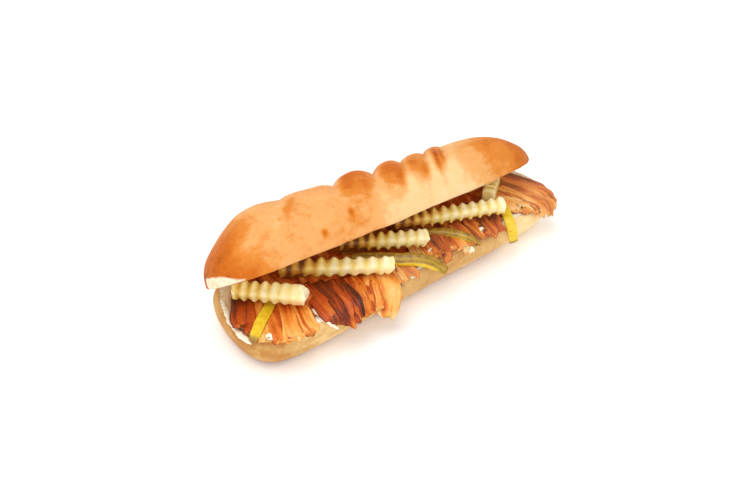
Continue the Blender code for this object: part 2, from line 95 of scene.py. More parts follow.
# how brown it is, and where it is browner: (how much, along X, Y or Z as 0, 1 or 2, where it starts,
# where it is full)
BASE_BROWN = 0.42
BASE_MOTTLING = ((0.14, (26, 12, 8), 3, 21),)
# the first two bands make it browner towards the floor, the second a thin dark line at the floor that is
# painted contact shade
BASE_BANDS = ((0.22, 2, 6.0, 0.0), (0.45, 2, 1.8, 0.2), (0.20, 0, -92.0, -116.0), (0.12, 1, 25.0, 40.0))
PALE_END = (-0.38, 52.0, 90.0)  # its right end is paler in front
PALE_END_FRONT = (20.0, -10.0)

# Upper half of the roll, turned up about the hinge
LID_MIDDLE = -7.2
LID_HALF_LENGTH = 121.4
LID_END_POWER = 4.04
LID_CROWN_POWER = 2.94
LID_OPENING = 34.96
LID_TWIST = -2.42
LID_HEIGHT = 27.4
LID_HEIGHT_CHANGE = -5.0
LID_SECTION_POWER = 2.3
LID_SECTION_ROOT = 1 / 2.1
LID_HOLLOW = 2.0
LID_EDGE = 1.4
LID_FLOOR = (0.995, -0.96)  # its cut face reaches across from here to here
LID_CRUMB = (-0.985, -0.95)  # where the lip's crust turns into the crumb of the cut face
LID_RELIEF = ((0.45, 16, 2, 31), (0.12, 4.5, 1, 33), (0.04, 1.2, 1, 35))
LID_PORES = (2.4, 0.3, 1.2, 1.2, 0.25, 37)
LID_SMOOTH_END = 0.03
TORN_HEIGHT = 7.0  # height of the torn crumb along the lip at the left end
TORN_ALONG = (-128.0, -111.0)
TORN_ACROSS = (-0.9, -0.1)
TORN_RAGGED = 0.8  # its edge wanders so far
TORN_RAG_SIZE = 3.0
TORN_EDGE = (-0.6, 0.6)
TORN_START = (0.2, 1.0)
# gentle swells of the crown: (middle, reach, height)
LID_SWELLS = ((-93.7, 31.9, 9.1), (81.5, 27.7, 7.6))
# puffed lobes side by side along the ridge: the valleys between them, and how far each stands out
LOBE_VALLEYS = (-71.4, -34.9, -5.9, 15.9, 34.1, 48.2)
LOBE_HEIGHTS = (4.3, 6.1, 4.5, 2.9, 2.4)
LOBE_ARC = 0.85  # half width of a lobe as a share of its arc's radius
LOBE_SLANT = 0.141  # how far lobes lean to the left down the front side
LOBE_ROOT = 0.321  # the place across the crown about which they lean
LOBE_FADE_BACK = (-0.85, -0.35)  # across the crown, where lobes start and stand out in full
LOBE_FADE_FRONT = (0.05, 0.78)  # and where they start to fade and end
# how brown it is: both ends, then bands along the lobes, as (how much, where one starts, is full, is
# gone and starts to go, pull of the valleys, and the places across between which it grows)
LID_BROWN = 0.46
LID_ENDS = ((0.36, -84.0, -122.0), (0.30, 66.0, 106.0))
LID_BANDS = ((0.14, -36, -26, 54, 44, 0.3, 0.9, 0.4),
             (-0.25, -35, 25, 82, 48, 0.2, 0.68, 1.05))
# the pull of the valleys makes the crust paler just right of each valley, partly paler crust in the crease
# and partly painted light on the next lobe's lit left face
VALLEY_SHIFT = 2.0  # the pull of a valley lies this far to its right
VALLEY_REACH = 4.0
# marks on the crust, partly its own baked colour and partly painted light and shade on the lobes:
# (place along the lobes, across, reach along, reach across, how brown, slant of the place)
# the browner marks on the lobes' right flanks are partly painted shade, and the paler marks just right of
# the valleys partly painted light on the lobes' left faces
CRUST_MARKS = (
    (-24, 0.30, 7, 0.30, 0.22, 0), (-13, 0.60, 4, 0.22, 0.12, 0),
    (5.5, 0.34, 6, 0.28, 0.18, 0), (12.5, 0.62, 3.6, 0.22, 0.25, 0),
    (25, 0.36, 4.6, 0.26, 0.15, 0), (31.5, 0.68, 3.2, 0.18, 0.25, 0),
    (42, 0.46, 1.9, 0.38, 0.38, 0), (46.4, 0.34, 1.5, 0.28, 0.33, 0),
    (-66, 0.45, 3, 0.28, 0.13, -18), (-72.5, 0.45, 5, 0.28, -0.10, -18),
    (-28.5, 0.89, 1.5, 0.045, 0.34, 4), (-49.5, 0.965, 1.8, 0.02, 0.34, 0),
    (-75, 0.73, 1.5, 0.02, 0.19, 0), (78, 0.68, 6, 0.35, 0.15, 0),
    (-32, 0.10, 3, 0.24, -0.12, 0), (-3, 0.30, 3, 0.28, -0.15, 0),
    (19, 0.20, 2.4, 0.24, -0.10, 0), (37, 0.30, 2.2, 0.30, -0.18, 0),
    (54, 0.45, 5, 0.50, -0.12, 0), (-100, 0.82, 12, 0.16, -0.15, 0),
)

# Sauce spread on the lower cut face
SAUCE_INSET = 4.3
SAUCE_BACK_INSET = 9.5
SAUCE_DEPTH = 2.0
SAUCE_SINK = 0.4  # it soaks this far into the crumb
SAUCE_EDGE = 0.5  # its underside starts this far inside its edge
SAUCE_SHOULDER = 2.2  # and its full depth this far inside it
SAUCE_LUMPS = ((0.35, (3.5, 5.0, 4.0), 3, 41),)
SAUCE_WAVES = ((1.2, 6.5), (0.8, 2.9))
SAUCE_BLOBS = ((-112.0, 3.0), (-70.0, 2.0), (-8.0, 3.4), (37.0, 3.2), (53.0, 2.2))
BLOB_WIDTH = 4.0
SOAKED_LEFT = (1.3, -100.0, -110.0)  # it has soaked in at the back of the left end, and at the right end
SOAKED_LEFT_BACK = (-12.0, 0.0)
SOAKED_RIGHT = (88.0, 98.0)
UNSOAKED = 0.5  # how far the rest is from soaking in
DAB_FACING = (0.0, -0.3, 0.95)
DAB_TIP = 0.01  # square of the least share of its width
DAB_LUMPS = ((0.45, 3.0, 2, 0),)
DAB_RELIEF = ((0.3, 1.8, 2, 1),)
SEED_SHIFT = 9.1  # keeps the lumps of two dabs apart
# streaks and blobs that lie on the rim and the meat: (path, half width, half thickness)
DABS = (
    (((-117.6, 20, 24.2), (-120, 9, 24.4), (-122.6, -1, 24.4), (-123, -12, 24.2),
      (-121.4, -24, 24)), 1.8, 0.8),
    (((-113.6, -27.4, 28.1), (-109.6, -28.6, 27.9)), 2.3, 1.1),
    (((-77, -20, 26.2), (-75.6, -30, 25.2), (-70.5, -40, 21.4)), 1.2, 0.8),
    (((-11.5, -27.6, 26), (-5.6, -28.4, 25.6)), 2.3, 1.1),
    (((32.6, -29, 25.2), (38.4, -29.4, 25)), 2.1, 1.1),
    (((50, -20, 27.6), (54, -19.4, 27.4)), 1.6, 0.9),
    (((10, -19, 27.6), (16, -16, 27.8)), 1.2, 0.7),
)

# Fries: name, both ends, side, pitch and lean of the ridges, turn, flare, share of a ridge's height
# on the two upright faces, how narrow the ridges are, how pointed they are below, how far they fade
# along it, how far its far end is cut back above and below, and how much painted shade darkens it under the
# lid
Fry = namedtuple("Fry", "name start end side pitch lean turn flare across narrow teeth fade "
                 "cut_above cut_below browned")
FRY_RIDGE = 1.25
FRY_CORE = 0.4  # the core is this share of a ridge smaller on every side
RIDGE_ABOVE = 1.15  # shares of a ridge's height on the top and on the underside
RIDGE_BELOW = 0.8
EDGE_RIDGE = 0.78  # share of a ridge's height along the two edges
FACE_RIDGE = 0.08  # share of a ridge's height in the middle of the faces
FACE_REACH = (0.4, 0.85)  # and how far round the ridges grow to their full height
FRY_POWER = 2 / 3.6  # how square the section is
END_SOLID = 5.0  # ridges are at their full height this far from an end
END_START = 0.4  # and gone this far from it
END_WAVE = 0.6  # height of the full end as a share of a ridge's
END_RINGS = (0.08, 0.3, 0.55, 0.8)  # sizes of the rings that close it
FRY_END = 0.9  # the rounded ends stand out this far
FRY_ROUND = 1.6  # and are rounded over this length
FRY_END_SHARE = 0.84  # down to this share of the width
FRY_END_RINGS = 8
CUT_REACH = 1.6  # a slanting cut draws the ridges back over this many times END_SOLID
RIDGE_TURN = (-0.35, 0.15)  # across the section, where the lower ridges turn into the upper ones
RIDGE_DRIFT = ((0.25, 9.0, 1, 0),)
RIDGES_FADE = (0.4, 0.9)  # shares of the length between which ridges fade
BANDS_FADE = (0.3, 0.8)  # and their dark bands
BANDS_FADED = 0.8  # share of the bands that can fade
FRY_UNEVEN = ((0.03, 15.0, 1, 1),)
FRY_ROUGH = ((0.14, 2.6, 2, 0),)
FRY_END_ROUGH = ((0.4, 2.0, 2, 3),)
# how dark the potato is, and how its ridges, underside, notches below and far end change it, the underside
# by painted shade and the ridges partly by painted shade
POTATO_TONE = 0.30
# dark bands along the grooves and paler crests: partly the potato's own colour, partly painted shade and
# light of ridges that are nearly flat on the faces
BAND_TONE = 0.15
WAVE_TONE = 0.05
# painted shade on the underside
UNDERSIDE_TONE = (0.12, 0.2, 0.9)
NOTCH_TONE = (0.30, 0.45, 0.8)
TIP_TONE = -0.11
TIP_REACH = 7.0
UNDER_LID = (-9.0, 5.0)  # painted shade: fries darken between these places from front to back, where the upper half shades them
FRIES = (
    Fry("fry_1", (-112, 11.2, 35.8), (-80, -18.7, 37.6), 11.4, 6.3, -0.2, 22, 0.1, 0.9,
        0.8, 0, 0.9, 4.4, 3.4, 0.22),
    Fry("fry_2", (-79.5, 12.4, 35.9), (-20.5, -24.6, 36.6), 9.9, 7.9, -1.3, 12, 0, 0.7,
        1.2, 0, 0.3, 0.3, 4.4, 0.55),
    Fry("fry_3", (-37, 11.2, 36.2), (12, -15.2, 36.8), 9.8, 6.3, -1.2, 8, 0, 0.7,
        1, 0.8, 0.2, 2, 4, 0.66),
    Fry("fry_4", (3, 8.6, 36.2), (71.5, -16.4, 36.8), 9.8, 6.4, -1.3, 10, 0, 0.7,
        1.2, 1.2, 0.2, 0, 1, 0.62),
    Fry("fry_5", (69.5, -3.6, 36.8), (88, 13.5, 31.6), 9.2, 6.3, -0.8, 0, 0, 0.7,
        0.8, 0, 0.5, 0, 0, 0.16),
)

# Pickles: (name, path, half width, half thickness, taper of the ends, facing, whether it is a strip)
# a blade is rounded on the skin side above and flat on the cut side below
BLADE_SECTION = ((1, -0.1), (0.72, 0.7), (0.25, 1.0), (-0.3, 0.95), (-0.76, 0.6), (-1, -0.1),
                 (-0.6, -1.0), (0.6, -1.0))
STRIP_ROUNDNESS = 0.4
PICKLE_END = 0.96  # it is rounded off beyond this share of its half length
PICKLE_TIP = 0.04  # square of the least share of its width
PICKLE_TAPER_POWER = 3.5  # how near to its ends a pickle starts to narrow
PICKLE_THINNING = 0.65  # how far the thickness follows the width
PICKLE_RELIEF = ((0.12, 3.0, 2, 0),)
STRIP_END_SKIN = (0.9, 0.90, 0.97)
STRIP_EDGE_SKIN = (0.25, 0.7, 1.0)
BLADE_FLESH = (0.45, 0.75)  # across it, where skin turns into flesh
BLADE_FLESH_END = (0.80, 0.95)  # along it, where the flesh ends
STREAK_TONE = 0.35  # a paler streak along the skin
STREAK_PLACE = (0.05, 0.22)  # its middle and reach across the blade
STREAK_ABOVE = (0.0, 0.6)
PICKLES = (
    ("pickle_1", ((-91, 1.5, 26.4), (-98, -5, 26.6), (-109.2, -14.5, 28), (-120.3, -24.2, 26.2)),
     3.5, 1.5, 0.15, (-0.2, -0.4, 0.9), True),
    ("pickle_2", ((-34.5, 2, 30.4), (-13.5, -15.3, 31), (2.5, -26.3, 30.2), (12.5, -36.5, 24)),
     4.3, 1.9, 0.42, (-0.3, -0.5, 0.8), False),
    ("pickle_3", ((17, 0, 28.4), (29.5, -9.5, 28.8), (38, -20, 28.6), (45, -29, 25.2)),
     3.2, 1.6, 0.7, (-0.3, -0.5, 0.8), False),
    ("pickle_4", ((79, -4, 28.4), (75.6, -14.5, 28.5), (72.3, -23.5, 26.8), (71.8, -27.8, 20.5),
                  (73.2, -28, 13)),
     3.3, 1.4, 0.15, (-0.35, -0.75, 0.5), True),
)

# Meat: a thin bed, and bunches of slices that lie over its front and right edges
BED_INSET = 8.5
BED_REACH = 0.985  # share of the roll's length
BED_BACK = 3.0  # its back edge starts this much further in
BED_TOP = 28.3
BED_ROOM = 1.0  # it stays this far below the upper half
BED_WAVES = ((0.9, 5.3, 4.0), (0.54, 2.7, -3.1))  # (height, run along it, run across it)
BED_RELIEF = ((0.7, (5, 2.5, 5), 3, 51),)
BED_UNDER_INSET = 2.0
BED_UNDER_GAP = 1.0
BED_TONE = 0.52
BED_MOTTLING = ((0.22, (3, 8, 4), 3, 53),)
BED_DROP = 3.6  # its top falls this much towards its front edge, under the slices
BED_SLOPE = (10.0, 26.0)  # between these insets
CARVE = 0.65  # room between a slice and what it lies on
SLICE_RINGS = 5
SAUCE_UNDER_MEAT = 2.3  # the sauce under the slices starts at this inset
# bunches: paths of the slices' roots and tips from left to right, size of a slice, how dark each one
# is, how far they spread over their neighbours, how many thin strips lie on them and how dry they are
Bunch = namedtuple("Bunch", "roots tips half_width half_height tones spread strips dry")
BUNCHES = (
    Bunch(((-109, 12.5, 28), (-97, 0, 28), (-83.5, -11, 28.5)),
          ((-119.5, -9, 26.6), (-115.5, -26, 26.2), (-104.5, -35.5, 25.2), (-90, -36, 24.6)), 5.6, 1.2,
          (0.60, 0.52, 0.24, 0.34, 0.30, 0.24), 1.12, 4, 0),
    Bunch(((-71, -1, 28.5), (-47, -12, 29)),
          ((-70.5, -33, 22), (-63.5, -43, 17.5), (-51, -42, 18.5)), 4.8, 1.3,
          (0.58, 0.68, 0.64, 0.68, 0.56), 1.3, 5, 0),
    Bunch(((-46, -12, 29), (-26, -20, 29)),
          ((-49, -34, 18.5), (-38, -41, 13.4)), 7, 1.2, (0.40, 0.30, 0.24), 1.15, 4, 0),
    Bunch(((-24, -15, 28.5), (-10, -18, 28.5)),
          ((-24.5, -31, 25), (-11, -29, 25.4)), 3.8, 1.2, (0.38, 0.20, 0.42), 1.1, 5, 0.25),
    Bunch(((6, -6, 28.5), (32, -10, 28.5)),
          ((3, -22, 26.1), (31, -25.5, 25.6)), 4.6, 1.2, (0.10, 0.44, 0.54, 0.36, 0.26), 1.15, 7, 0.12),
    Bunch(((40, -4, 28.5), (68, -10, 28.5)),
          ((40, -25, 25.6), (63, -25.5, 25.4)), 4.4, 1.2, (0.42, 0.36, 0.52, 0.58), 1.15, 6, 0.1),
    Bunch(((77, 1, 28.5), (89, 12, 28.3), (99.5, 20, 27.5)),
          ((86, -15, 26.4), (96.5, -23, 19.5), (106.5, -25, 15.8), (113, -22, 16.4),
           (114, -10, 20.5)), 5, 1.3, (0.12, 0.28, 0.22, 0.46, 0.32, 0.58, 0.70), 0.95, 14, 0.2),
)
SLICE_BENDS = (0.55, 0.6, 0.65, 0.7, 0.75, 0.8, 0.85, 0.9)  # shares of its way where one may bend down
SLICE_CLEARANCE = 3.0  # of its bend above the rim
SLICE_LIFT = 0.9  # and the most that this may grow
SLICE_WIDTHS = (0.8, 1.0, 1.08, 1.0, 0.8)  # shares of the width from root to tip
SLICE_HEIGHTS = (1.0, 0.99, 0.94, 0.81, 0.55)
SLICE_UNEVEN = 0.12
THINNESS = 0.5  # a slice is this share of the layer's depth
DARK_STRIP = 0.15  # every third thin strip is this much darker
LAYER = 0.9  # thin strips lie up to this far above the slices
EVENNESS = 0.25  # the slices of a bunch differ by this share of what they could
LEAN = -0.15  # each one leans a little, its right edge over the next one's left
WANDER = ((1.7, 10.0, 1, 12),)  # how far it bends to either side on its way
WANDER_START = (0.0, 0.4)
RIPPLES = ((0.4, (4.5, 13, 6), 1, 0),)
FIBRES = ((0.12, (1.1, 14, 3), 1, 1), (0.06, (0.5, 7, 3), 1, 7))
CRACK = 1.2
CRACK_SIZE = (2.8, 26, 4)
CRACK_START = 0.42  # noise above this opens a crack
CRACK_TONE = 0.5  # painted shade: cracks and the gaps between fibres are darker by their depth
FIBRE_TONE = 0.6
DARKEST_LINE = 0.5
FULL_RELIEF = 1.2  # half thickness at which a slice has its full relief
LEAST_RELIEF = 0.3
RELIEF_BELOW = 0.4
EDGE_WAVES = ((0.12, 6.0, 1, 0),)
EDGE_SPACING = 3.0  # keeps the waves of both edges apart
FRINGE = ((1.0, 2.2, 1, 4), (0.8, 0.8, 1, 8))
SHORTER = 0.4  # most of a ragged tip is shorter by this much
FRAYED = (0.80, 1.0)  # the ragged tip starts and is full at these shares of its length
SLICE_END = 0.95  # it closes beyond this share of its length
SLICE_TIP = 0.02
CLOSED_WIDTH = 0.55
SLICE_POWERS = (0.75, 0.7)  # how square its section is
CURL = 0.30  # its edges turn down by this share of its thickness
GRAIN_SHIFT = 7.3  # the fibres of one slice differ from the next one's
GRAIN_DEPTH = 0.4  # and change by this much from its top to its underside
STREAKS = ((0.12, (0.8, 16, 3), 1, 5), (0.08, (0.4, 10, 3), 1, 9), (0.17, (3.4, 20, 5), 1, 6))
ROASTED_EDGES = ((0.34, 0.86, 1.0), (0.20, -0.90, -1.0))
# paler ragged tips, and painted shade darkening the roots under the fries and pickles
END_TONES = ((-0.16, 0.84, 1.0), (0.10, 0.45, 0.0))
SHORTEST = 0.86  # the least share of its full length that a slice has
TIP_THINNING = (0.55, 0.6, 1.0)  # a slice thins towards its tip
SLICE_SIZES = (0.85, 1.15)  # the least and the greatest width
SCATTER = (-1, 1)  # roots and tips lie this far off their places
TIP_SCATTER = (-2, 1)
SLICE_FACING = (-0.35, 0.9)  # how far slices are turned to the front and up
SLICE_FRAY = 2.5
LEANS = (-0.4, 0.1)
# thin strips; pairs are the least and the greatest of what is drawn at random for each
STRIP_LEAN = -0.2
STRIP_FRAY = 1.2
STRIP_SHARES = (0.03, 0.97)
STRIP_SLANT = 0.05
STRIP_STARTS = (0.0, 0.3)
STRIP_STOPS = (0.88, 1.0)
STRIP_LAYERS = (0.4, 1.0)
STRIP_BEND = 0.8
STRIP_HALF_WIDTHS = (0.5, 1.6)
STRIP_WIDTHS = (0.6, 1.0, 1.0, 0.9, 0.4)
STRIP_HEIGHTS = (0.4, 0.5, 0.5, 0.5, 0.3)
STRIP_TONES = (-0.10, 0.16)
PRESS_FROM = 18.0  # nothing lies on meat below this height
PRESS_GAP = 0.4  # meat stays this far below what lies on it
RAY_START = 15.0  # the undersides of fries and pickles are looked for from this height up
SLICE_DRAWS = 7  # seeds of the two random draws, and the first and the step of the slices' noise
STRIP_DRAWS = 23
SLICE_SEEDS = (100, 11)

# Camera: a 60 mm lens on a 36 mm sensor, turned and raised about a point in the sandwich
CAMERA_TURN = -34.0
CAMERA_RISE = 41.0
CAMERA_LENS = 60.0
CAMERA_DISTANCE = 0.78125
CAMERA_TARGET = (-21.0, -5.0, 35.0)
CAMERA_SENSOR = 36.0
CAMERA_NEAREST = 0.01

# Studio, in metres: lights as (name, place, size, power)
LIGHTS = (("key", (-0.30, 0.05, 1.25), 1.2, 8.0), ("front_fill", (-0.45, -1.1, 0.75), 0.9, 2.6))
LIGHT_COLOUR = (1.0, 0.99, 0.97)
LIGHT_TARGET = (0, 0, 0.02)
SKY_STRENGTH = 0.74
FLOOR_SIZE = 6.0
FLOOR_DEPTH = 0.0002
FLOOR_GLOW = 0.14  # softens the shadows on the floor

# Colours from 0 to 255, in order from low to high: (place, colour)
TOP_CRUST = ((0.0, (250, 226, 184)), (0.22, (246, 204, 146)), (0.44, (235, 169, 101)),
             (0.60, (222, 134, 52)), (0.80, (204, 106, 28)), (1.0, (136, 60, 14)))
BASE_CRUST = ((0.0, (254, 224, 168)), (0.22, (243, 204, 140)), (0.46, (217, 171, 106)),
              (0.66, (198, 140, 74)), (1.0, (140, 82, 36)))
SPECKS = ((0.66, (0, 0, 0)), (0.76, (255, 255, 255)))
SPECK_SHARE = 0.22
CRUMB = ((0.3, (232, 198, 146)), (0.6, (252, 238, 210)))
WHITE_SAUCE = ((0.3, (246, 230, 198)), (0.7, (253, 244, 224)))
SOAKED_SAUCE = (226, 178, 112)
POTATO = ((0.05, (254, 244, 206)), (0.30, (251, 231, 166)), (0.52, (236, 206, 104)),
          (0.78, (208, 148, 50)), (1.0, (118, 64, 16)))
PICKLE_FLESH = ((0.3, (226, 184, 24)), (0.7, (240, 208, 48)))
PICKLE_SKIN = ((0.3, (134, 96, 20)), (0.7, (178, 136, 46)))
ROAST = ((0.0, (254, 220, 160)), (0.20, (248, 180, 92)), (0.38, (228, 128, 40)),
         (0.56, (188, 74, 16)), (0.76, (126, 48, 14)), (1.0, (76, 30, 12)))
DRY_MEAT = (216, 172, 122)
FLOOR_COLOUR = (252, 252, 252)
FLOOR_GLOW_COLOUR = (255, 250, 244)

# Noise in the materials: (size, detail, roughness), with the amount first where it mottles
TOP_MOTTLING = ((0.45, 22, 4), (0.32, 5.0, 5, 0.65), (0.16, 1.2, 4, 0.6))
PALE_MOTTLING = ((0.45, 22, 4), (0.4, 5.0, 5, 0.65), (0.2, 1.2, 4, 0.6))
SPECK_NOISE = (1.3, 2, 0.5)
CRUMB_NOISE = (1.6, 5, 0.65)
SOAKED_MOTTLING = ((0.5, 3.0, 4),)
SAUCE_NOISE = (6, 4)
POTATO_MOTTLING = ((0.30, 5, 3), (0.20, 1.2, 4))
SKIN_MOTTLING = ((0.4, 4.0, 3),)
FLESH_NOISE = (3.5, 4)
RIND_NOISE = (3.0, 2)
MEAT_MOTTLING = ((0.22, 7.0, 3), (0.18, 1.8, 5, 0.6))

# How rough each surface is, evenly or between two values by noise, and how strongly it mirrors
CRUST_ROUGHNESS = (0.42, 0.62, 5, 3)
MEAT_ROUGHNESS = (0.28, 0.55, 3, 3)
SAUCE_ROUGHNESS = 0.25
POTATO_ROUGHNESS = 0.42
PICKLE_ROUGHNESS = 0.26
FLOOR_ROUGHNESS = 0.7
SHINE = {"golden_crust": 0.07, "tan_crust": 0.07, "white_sauce": 0.5, "fried_potato": 0.45,
         "pickle_slice": 0.4, "roast_meat": 0.25, "pale_floor": 0.2}

# Finishes: grain (size, detail, roughness), its height and strength, light inside and wet coat
CRUST_FINISH = ((1.1, 5, 0.6), (0.2, 0.4), (0.08, 2.0, (1.0, 0.55, 0.25)), (0.0, 0.0))
SAUCE_FINISH = ((1.5, 3), (0.3, 0.4), (0.1, 1.5, (1.0, 0.85, 0.7)), (0.4, 0.15))
POTATO_FINISH = ((0.9, 4), (0.2, 0.5), (0.2, 2.5, (1.0, 0.75, 0.35)), (0.12, 0.3))
PICKLE_FINISH = ((1.4, 2), (0.15, 0.3), (0.25, 2.0, (1.0, 0.85, 0.15)), (0.12, 0.15))
MEAT_FINISH = ((0.8, 5, 0.65), (0.25, 0.5), (0.1, 1.2, (1.0, 0.4, 0.15)), (0.08, 0.2))

# How many points each mesh has
BASE_POINTS = (360, 10, 46, 30)  # along it, then in half of its underside, side and cut face
LID_POINTS = (420, 150, 52)  # along it, over its crust and over its cut face
SAUCE_POINTS = (420, 30, 8)  # along it, then in half of its top and underside
BED_POINTS = (200, 22, 6)
DAB_POINTS = (60, 24)  # along and round each of the others
PICKLE_POINTS = (130, 56)
FRY_POINTS = (22, 84)  # the first in each ridge
SLICE_POINTS = (50, 44)
STRIP_POINTS = (28, 12)
JOIN_DISTANCE = 2e-6  # points as close as this are one
SHORTEST_EDGE = 1e-7

# Large numbers that scatter the values of the noise
HASH_FACTORS = (73856093, 19349663, 83492791, 265443576)
HASH_MIXERS = ((13, 1274126177), (15, 2246822519))


# --- Noise and small helpers ---

def lattice(cell, seed):
    """A repeatable value from 0 to 1 at each whole-number cell."""
    mixed = seed * HASH_FACTORS[3]
    for axis in range(3):
        mixed = mixed ^ cell[..., axis] * HASH_FACTORS[axis]
    for shift, factor in HASH_MIXERS:
        mixed = (mixed ^ (mixed >> shift)) * factor & 0xFFFFFFFF
    return ((mixed ^ (mixed >> 16)) & 0xFFFF) / 0xFFFF


def noise(points, size, seed=0):
    """Smooth noise from -1 to 1, with lumps about size across (one size, or one for each axis)."""
    place = np.asarray(points, dtype=float) / size
    cell = np.floor(place).astype(np.int64)
    part = place - cell
    part = part * part * (3 - 2 * part)
    total = 0.0
    for corner in product((0, 1), repeat=3):
        weight = np.prod(np.where(np.array(corner) == 1, part, 1 - part), axis=-1)
        total = total + weight * lattice(cell + np.array(corner), seed)
    return 2 * total - 1


def layered_noise(points, size, layers, seed=0):
    return sum(noise(points, np.asarray(size) / 2 ** k, seed + k) / 2 ** k for k in range(layers))


def uneven(points, waves, seed=0):
    """Noise of several sizes, whose own seeds are added to the seed."""
    return sum(high * layered_noise(points, size, layers, seed + own) for high, size, layers, own in waves)


def smooth_step(value, low, high):
    s = np.clip((value - low) / (high - low), 0, 1)
    return s * s * (3 - 2 * s)


def grow(value, amount, start, full):
    """An amount that grows smoothly from where it starts to where it is full."""
    return amount * smooth_step(value, start, full)


def hump(value, middle, reach):
    """A smooth hump of height 1 about a middle."""
    return np.exp(-(((value - middle) / reach) ** 2))


def unit(vector):
    return vector / np.linalg.norm(vector, axis=-1, keepdims=True)


def stack(x, y, z):
    return np.stack(np.broadcast_arrays(x, y, z), axis=-1)


def on_line(run, seed):
    """Points on a line of their own, for noise that changes along one length only."""
    return stack(run, 0 * run, 0 * run + seed)


def in_frame(point):
    """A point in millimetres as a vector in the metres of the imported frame."""
    return Vector(((np.asarray(point) - ORIGIN) * MM).tolist())


def name_seed(name):
    return sum(map(ord, name))


def end_spaced(count):
    """Places from -1 to 1 that lie closer together towards both ends."""
    return np.sin(np.linspace(-math.pi / 2, math.pi / 2, count))


def oval(t, power):
    """Half width of a long oval at place t, as a share of the widest."""
    return np.maximum(0.0, 1 - np.abs(t) ** power) ** OVAL_ROOT


def squared_circle(count, wide_power, tall_power):
    """Points round a circle from -1 to 1, drawn out towards a square where the powers are small."""
    around = np.linspace(0, 2 * math.pi, count, endpoint=False)[None]
    wide, tall = np.cos(around), np.sin(around)
    return np.sign(wide) * np.abs(wide) ** wide_power, np.sign(tall) * np.abs(tall) ** tall_power


def curve_through(knots, places):
    """Points of a smooth curve through the knots, at places from 0 to 1."""
    knots = np.array(knots, dtype=float)
    padded = np.vstack((2 * knots[0] - knots[1], knots, 2 * knots[-1] - knots[-2]))
    place = np.asarray(places) * (len(knots) - 1)
    k = np.minimum(place.astype(int), len(knots) - 2)
    s = (place - k)[:, None]
    a, b, c, d = (padded[k + i] for i in range(4))
    bend = 2 * a - 5 * b + 4 * c - d
    return 0.5 * (2 * b + (c - a) * s + bend * s * s + (3 * b - 3 * c + d - a) * s ** 3)


def path_frame(path, facing):
    """Directions along a path, across it, and out of the side that is turned to face one way."""
    along = unit(np.gradient(path, axis=0))
    across = unit(np.cross(along, facing))
    return along, across, np.cross(across, along)


def lay_out(path, *offsets):
    """Rings of points off a path, by distances in each of some directions."""
    rings = path[..., None, :]
    for direction, distance in offsets:
        rings = rings + direction[..., None, :] * distance[..., None]
    return rings


def sweep(path, half_widths, half_heights, facing, a, b):
    """Rings of one section along a path, its flat side turned to face one way."""
    _, wide, tall = path_frame(path, facing)
    return lay_out(path, (wide, a * half_widths[:, None]), (tall, b * half_heights[:, None]))


def surface_normals(rings):
    """Outward directions of a tube of rings whose points run anticlockwise seen from its start."""
    along = np.gradient(rings, axis=0)
    padded = np.concatenate((rings[:, -1:], rings, rings[:, :1]), axis=1)
    around = (padded[:, 2:] - padded[:, :-2]) / 2
    normals = np.cross(around, along)
    return normals / np.maximum(np.linalg.norm(normals, axis=-1, keepdims=True), 1e-9)


def push_out(rings, heights):
    """Move the points of a tube out of its surface."""
    return rings + surface_normals(rings) * heights[..., None]


def join_sides(front, back):
    """Rows from the front edge to the middle, then on to the back edge, the middle shared."""
    return np.concatenate((front, back[:, ::-1][:, 1:]), axis=1)


def add_object(name, data):
    made = bpy.data.objects.new(name, data)
    bpy.context.collection.objects.link(made)
    return made


def add_tubes(name, parts, material, capped=False):
    """Make one mesh of closed tubes, each a pair of rings in millimetres and values at their points."""
    points = []
    faces = []
    stored = {}
    start = 0
    for rings, values in parts:
        count, size = rings.shape[:2]
        index = np.arange(count * size).reshape(count, size) + start
        ahead = np.roll(index, -1, axis=1)
        quads = np.stack((index[:-1], ahead[:-1], ahead[1:], index[1:]), axis=-1).reshape(-1, 4)
        faces += quads.tolist()
        if capped:
            faces.append(index[0][::-1].tolist())
            faces.append(index[-1].tolist())
        points.append(rings.reshape(-1, 3))
        for key, value in values.items():
            stored.setdefault(key, []).append(np.broadcast_to(value, (count, size)).reshape(-1))
        start += count * size
    mesh = bpy.data.meshes.new(name)
    mesh.from_pydata(((np.concatenate(points) - ORIGIN) * MM).tolist(), [], faces)
    for key, value in stored.items():
        layer = mesh.attributes.new(key, "FLOAT", "POINT")
        layer.data.foreach_set("value", np.concatenate(value).astype(np.float32))
    clean_mesh(mesh)
    mesh.materials.append(material)
    mesh.shade_smooth()
    return add_object(name, mesh)


def clean_mesh(mesh):
    """Join points that coincide, and turn all faces outwards."""
    shape = bmesh.new()
    shape.from_mesh(mesh)
    bmesh.ops.remove_doubles(shape, verts=shape.verts, dist=JOIN_DISTANCE)
    bmesh.ops.dissolve_degenerate(shape, edges=shape.edges, dist=SHORTEST_EDGE)
    bmesh.ops.recalc_face_normals(shape, faces=shape.faces)
    shape.to_mesh(mesh)
    shape.free()


def finish_piece(piece, slot, *replaced):
    """Tie a piece to the sandwich's one body and hide the solids that it stands for; its finish, slot, is
    not used.
    """
    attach(piece, "root")
    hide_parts(*replaced)


# --- Materials ---

def tint(red, green, blue):
    """A display colour from 0 to 255 as the linear colour that shaders take."""
    shares = [c / 255 for c in (red, green, blue)]
    return tuple(c / 12.92 if c <= 0.04045 else ((c + 0.055) / 1.055) ** 2.4 for c in shares) + (1.0,)


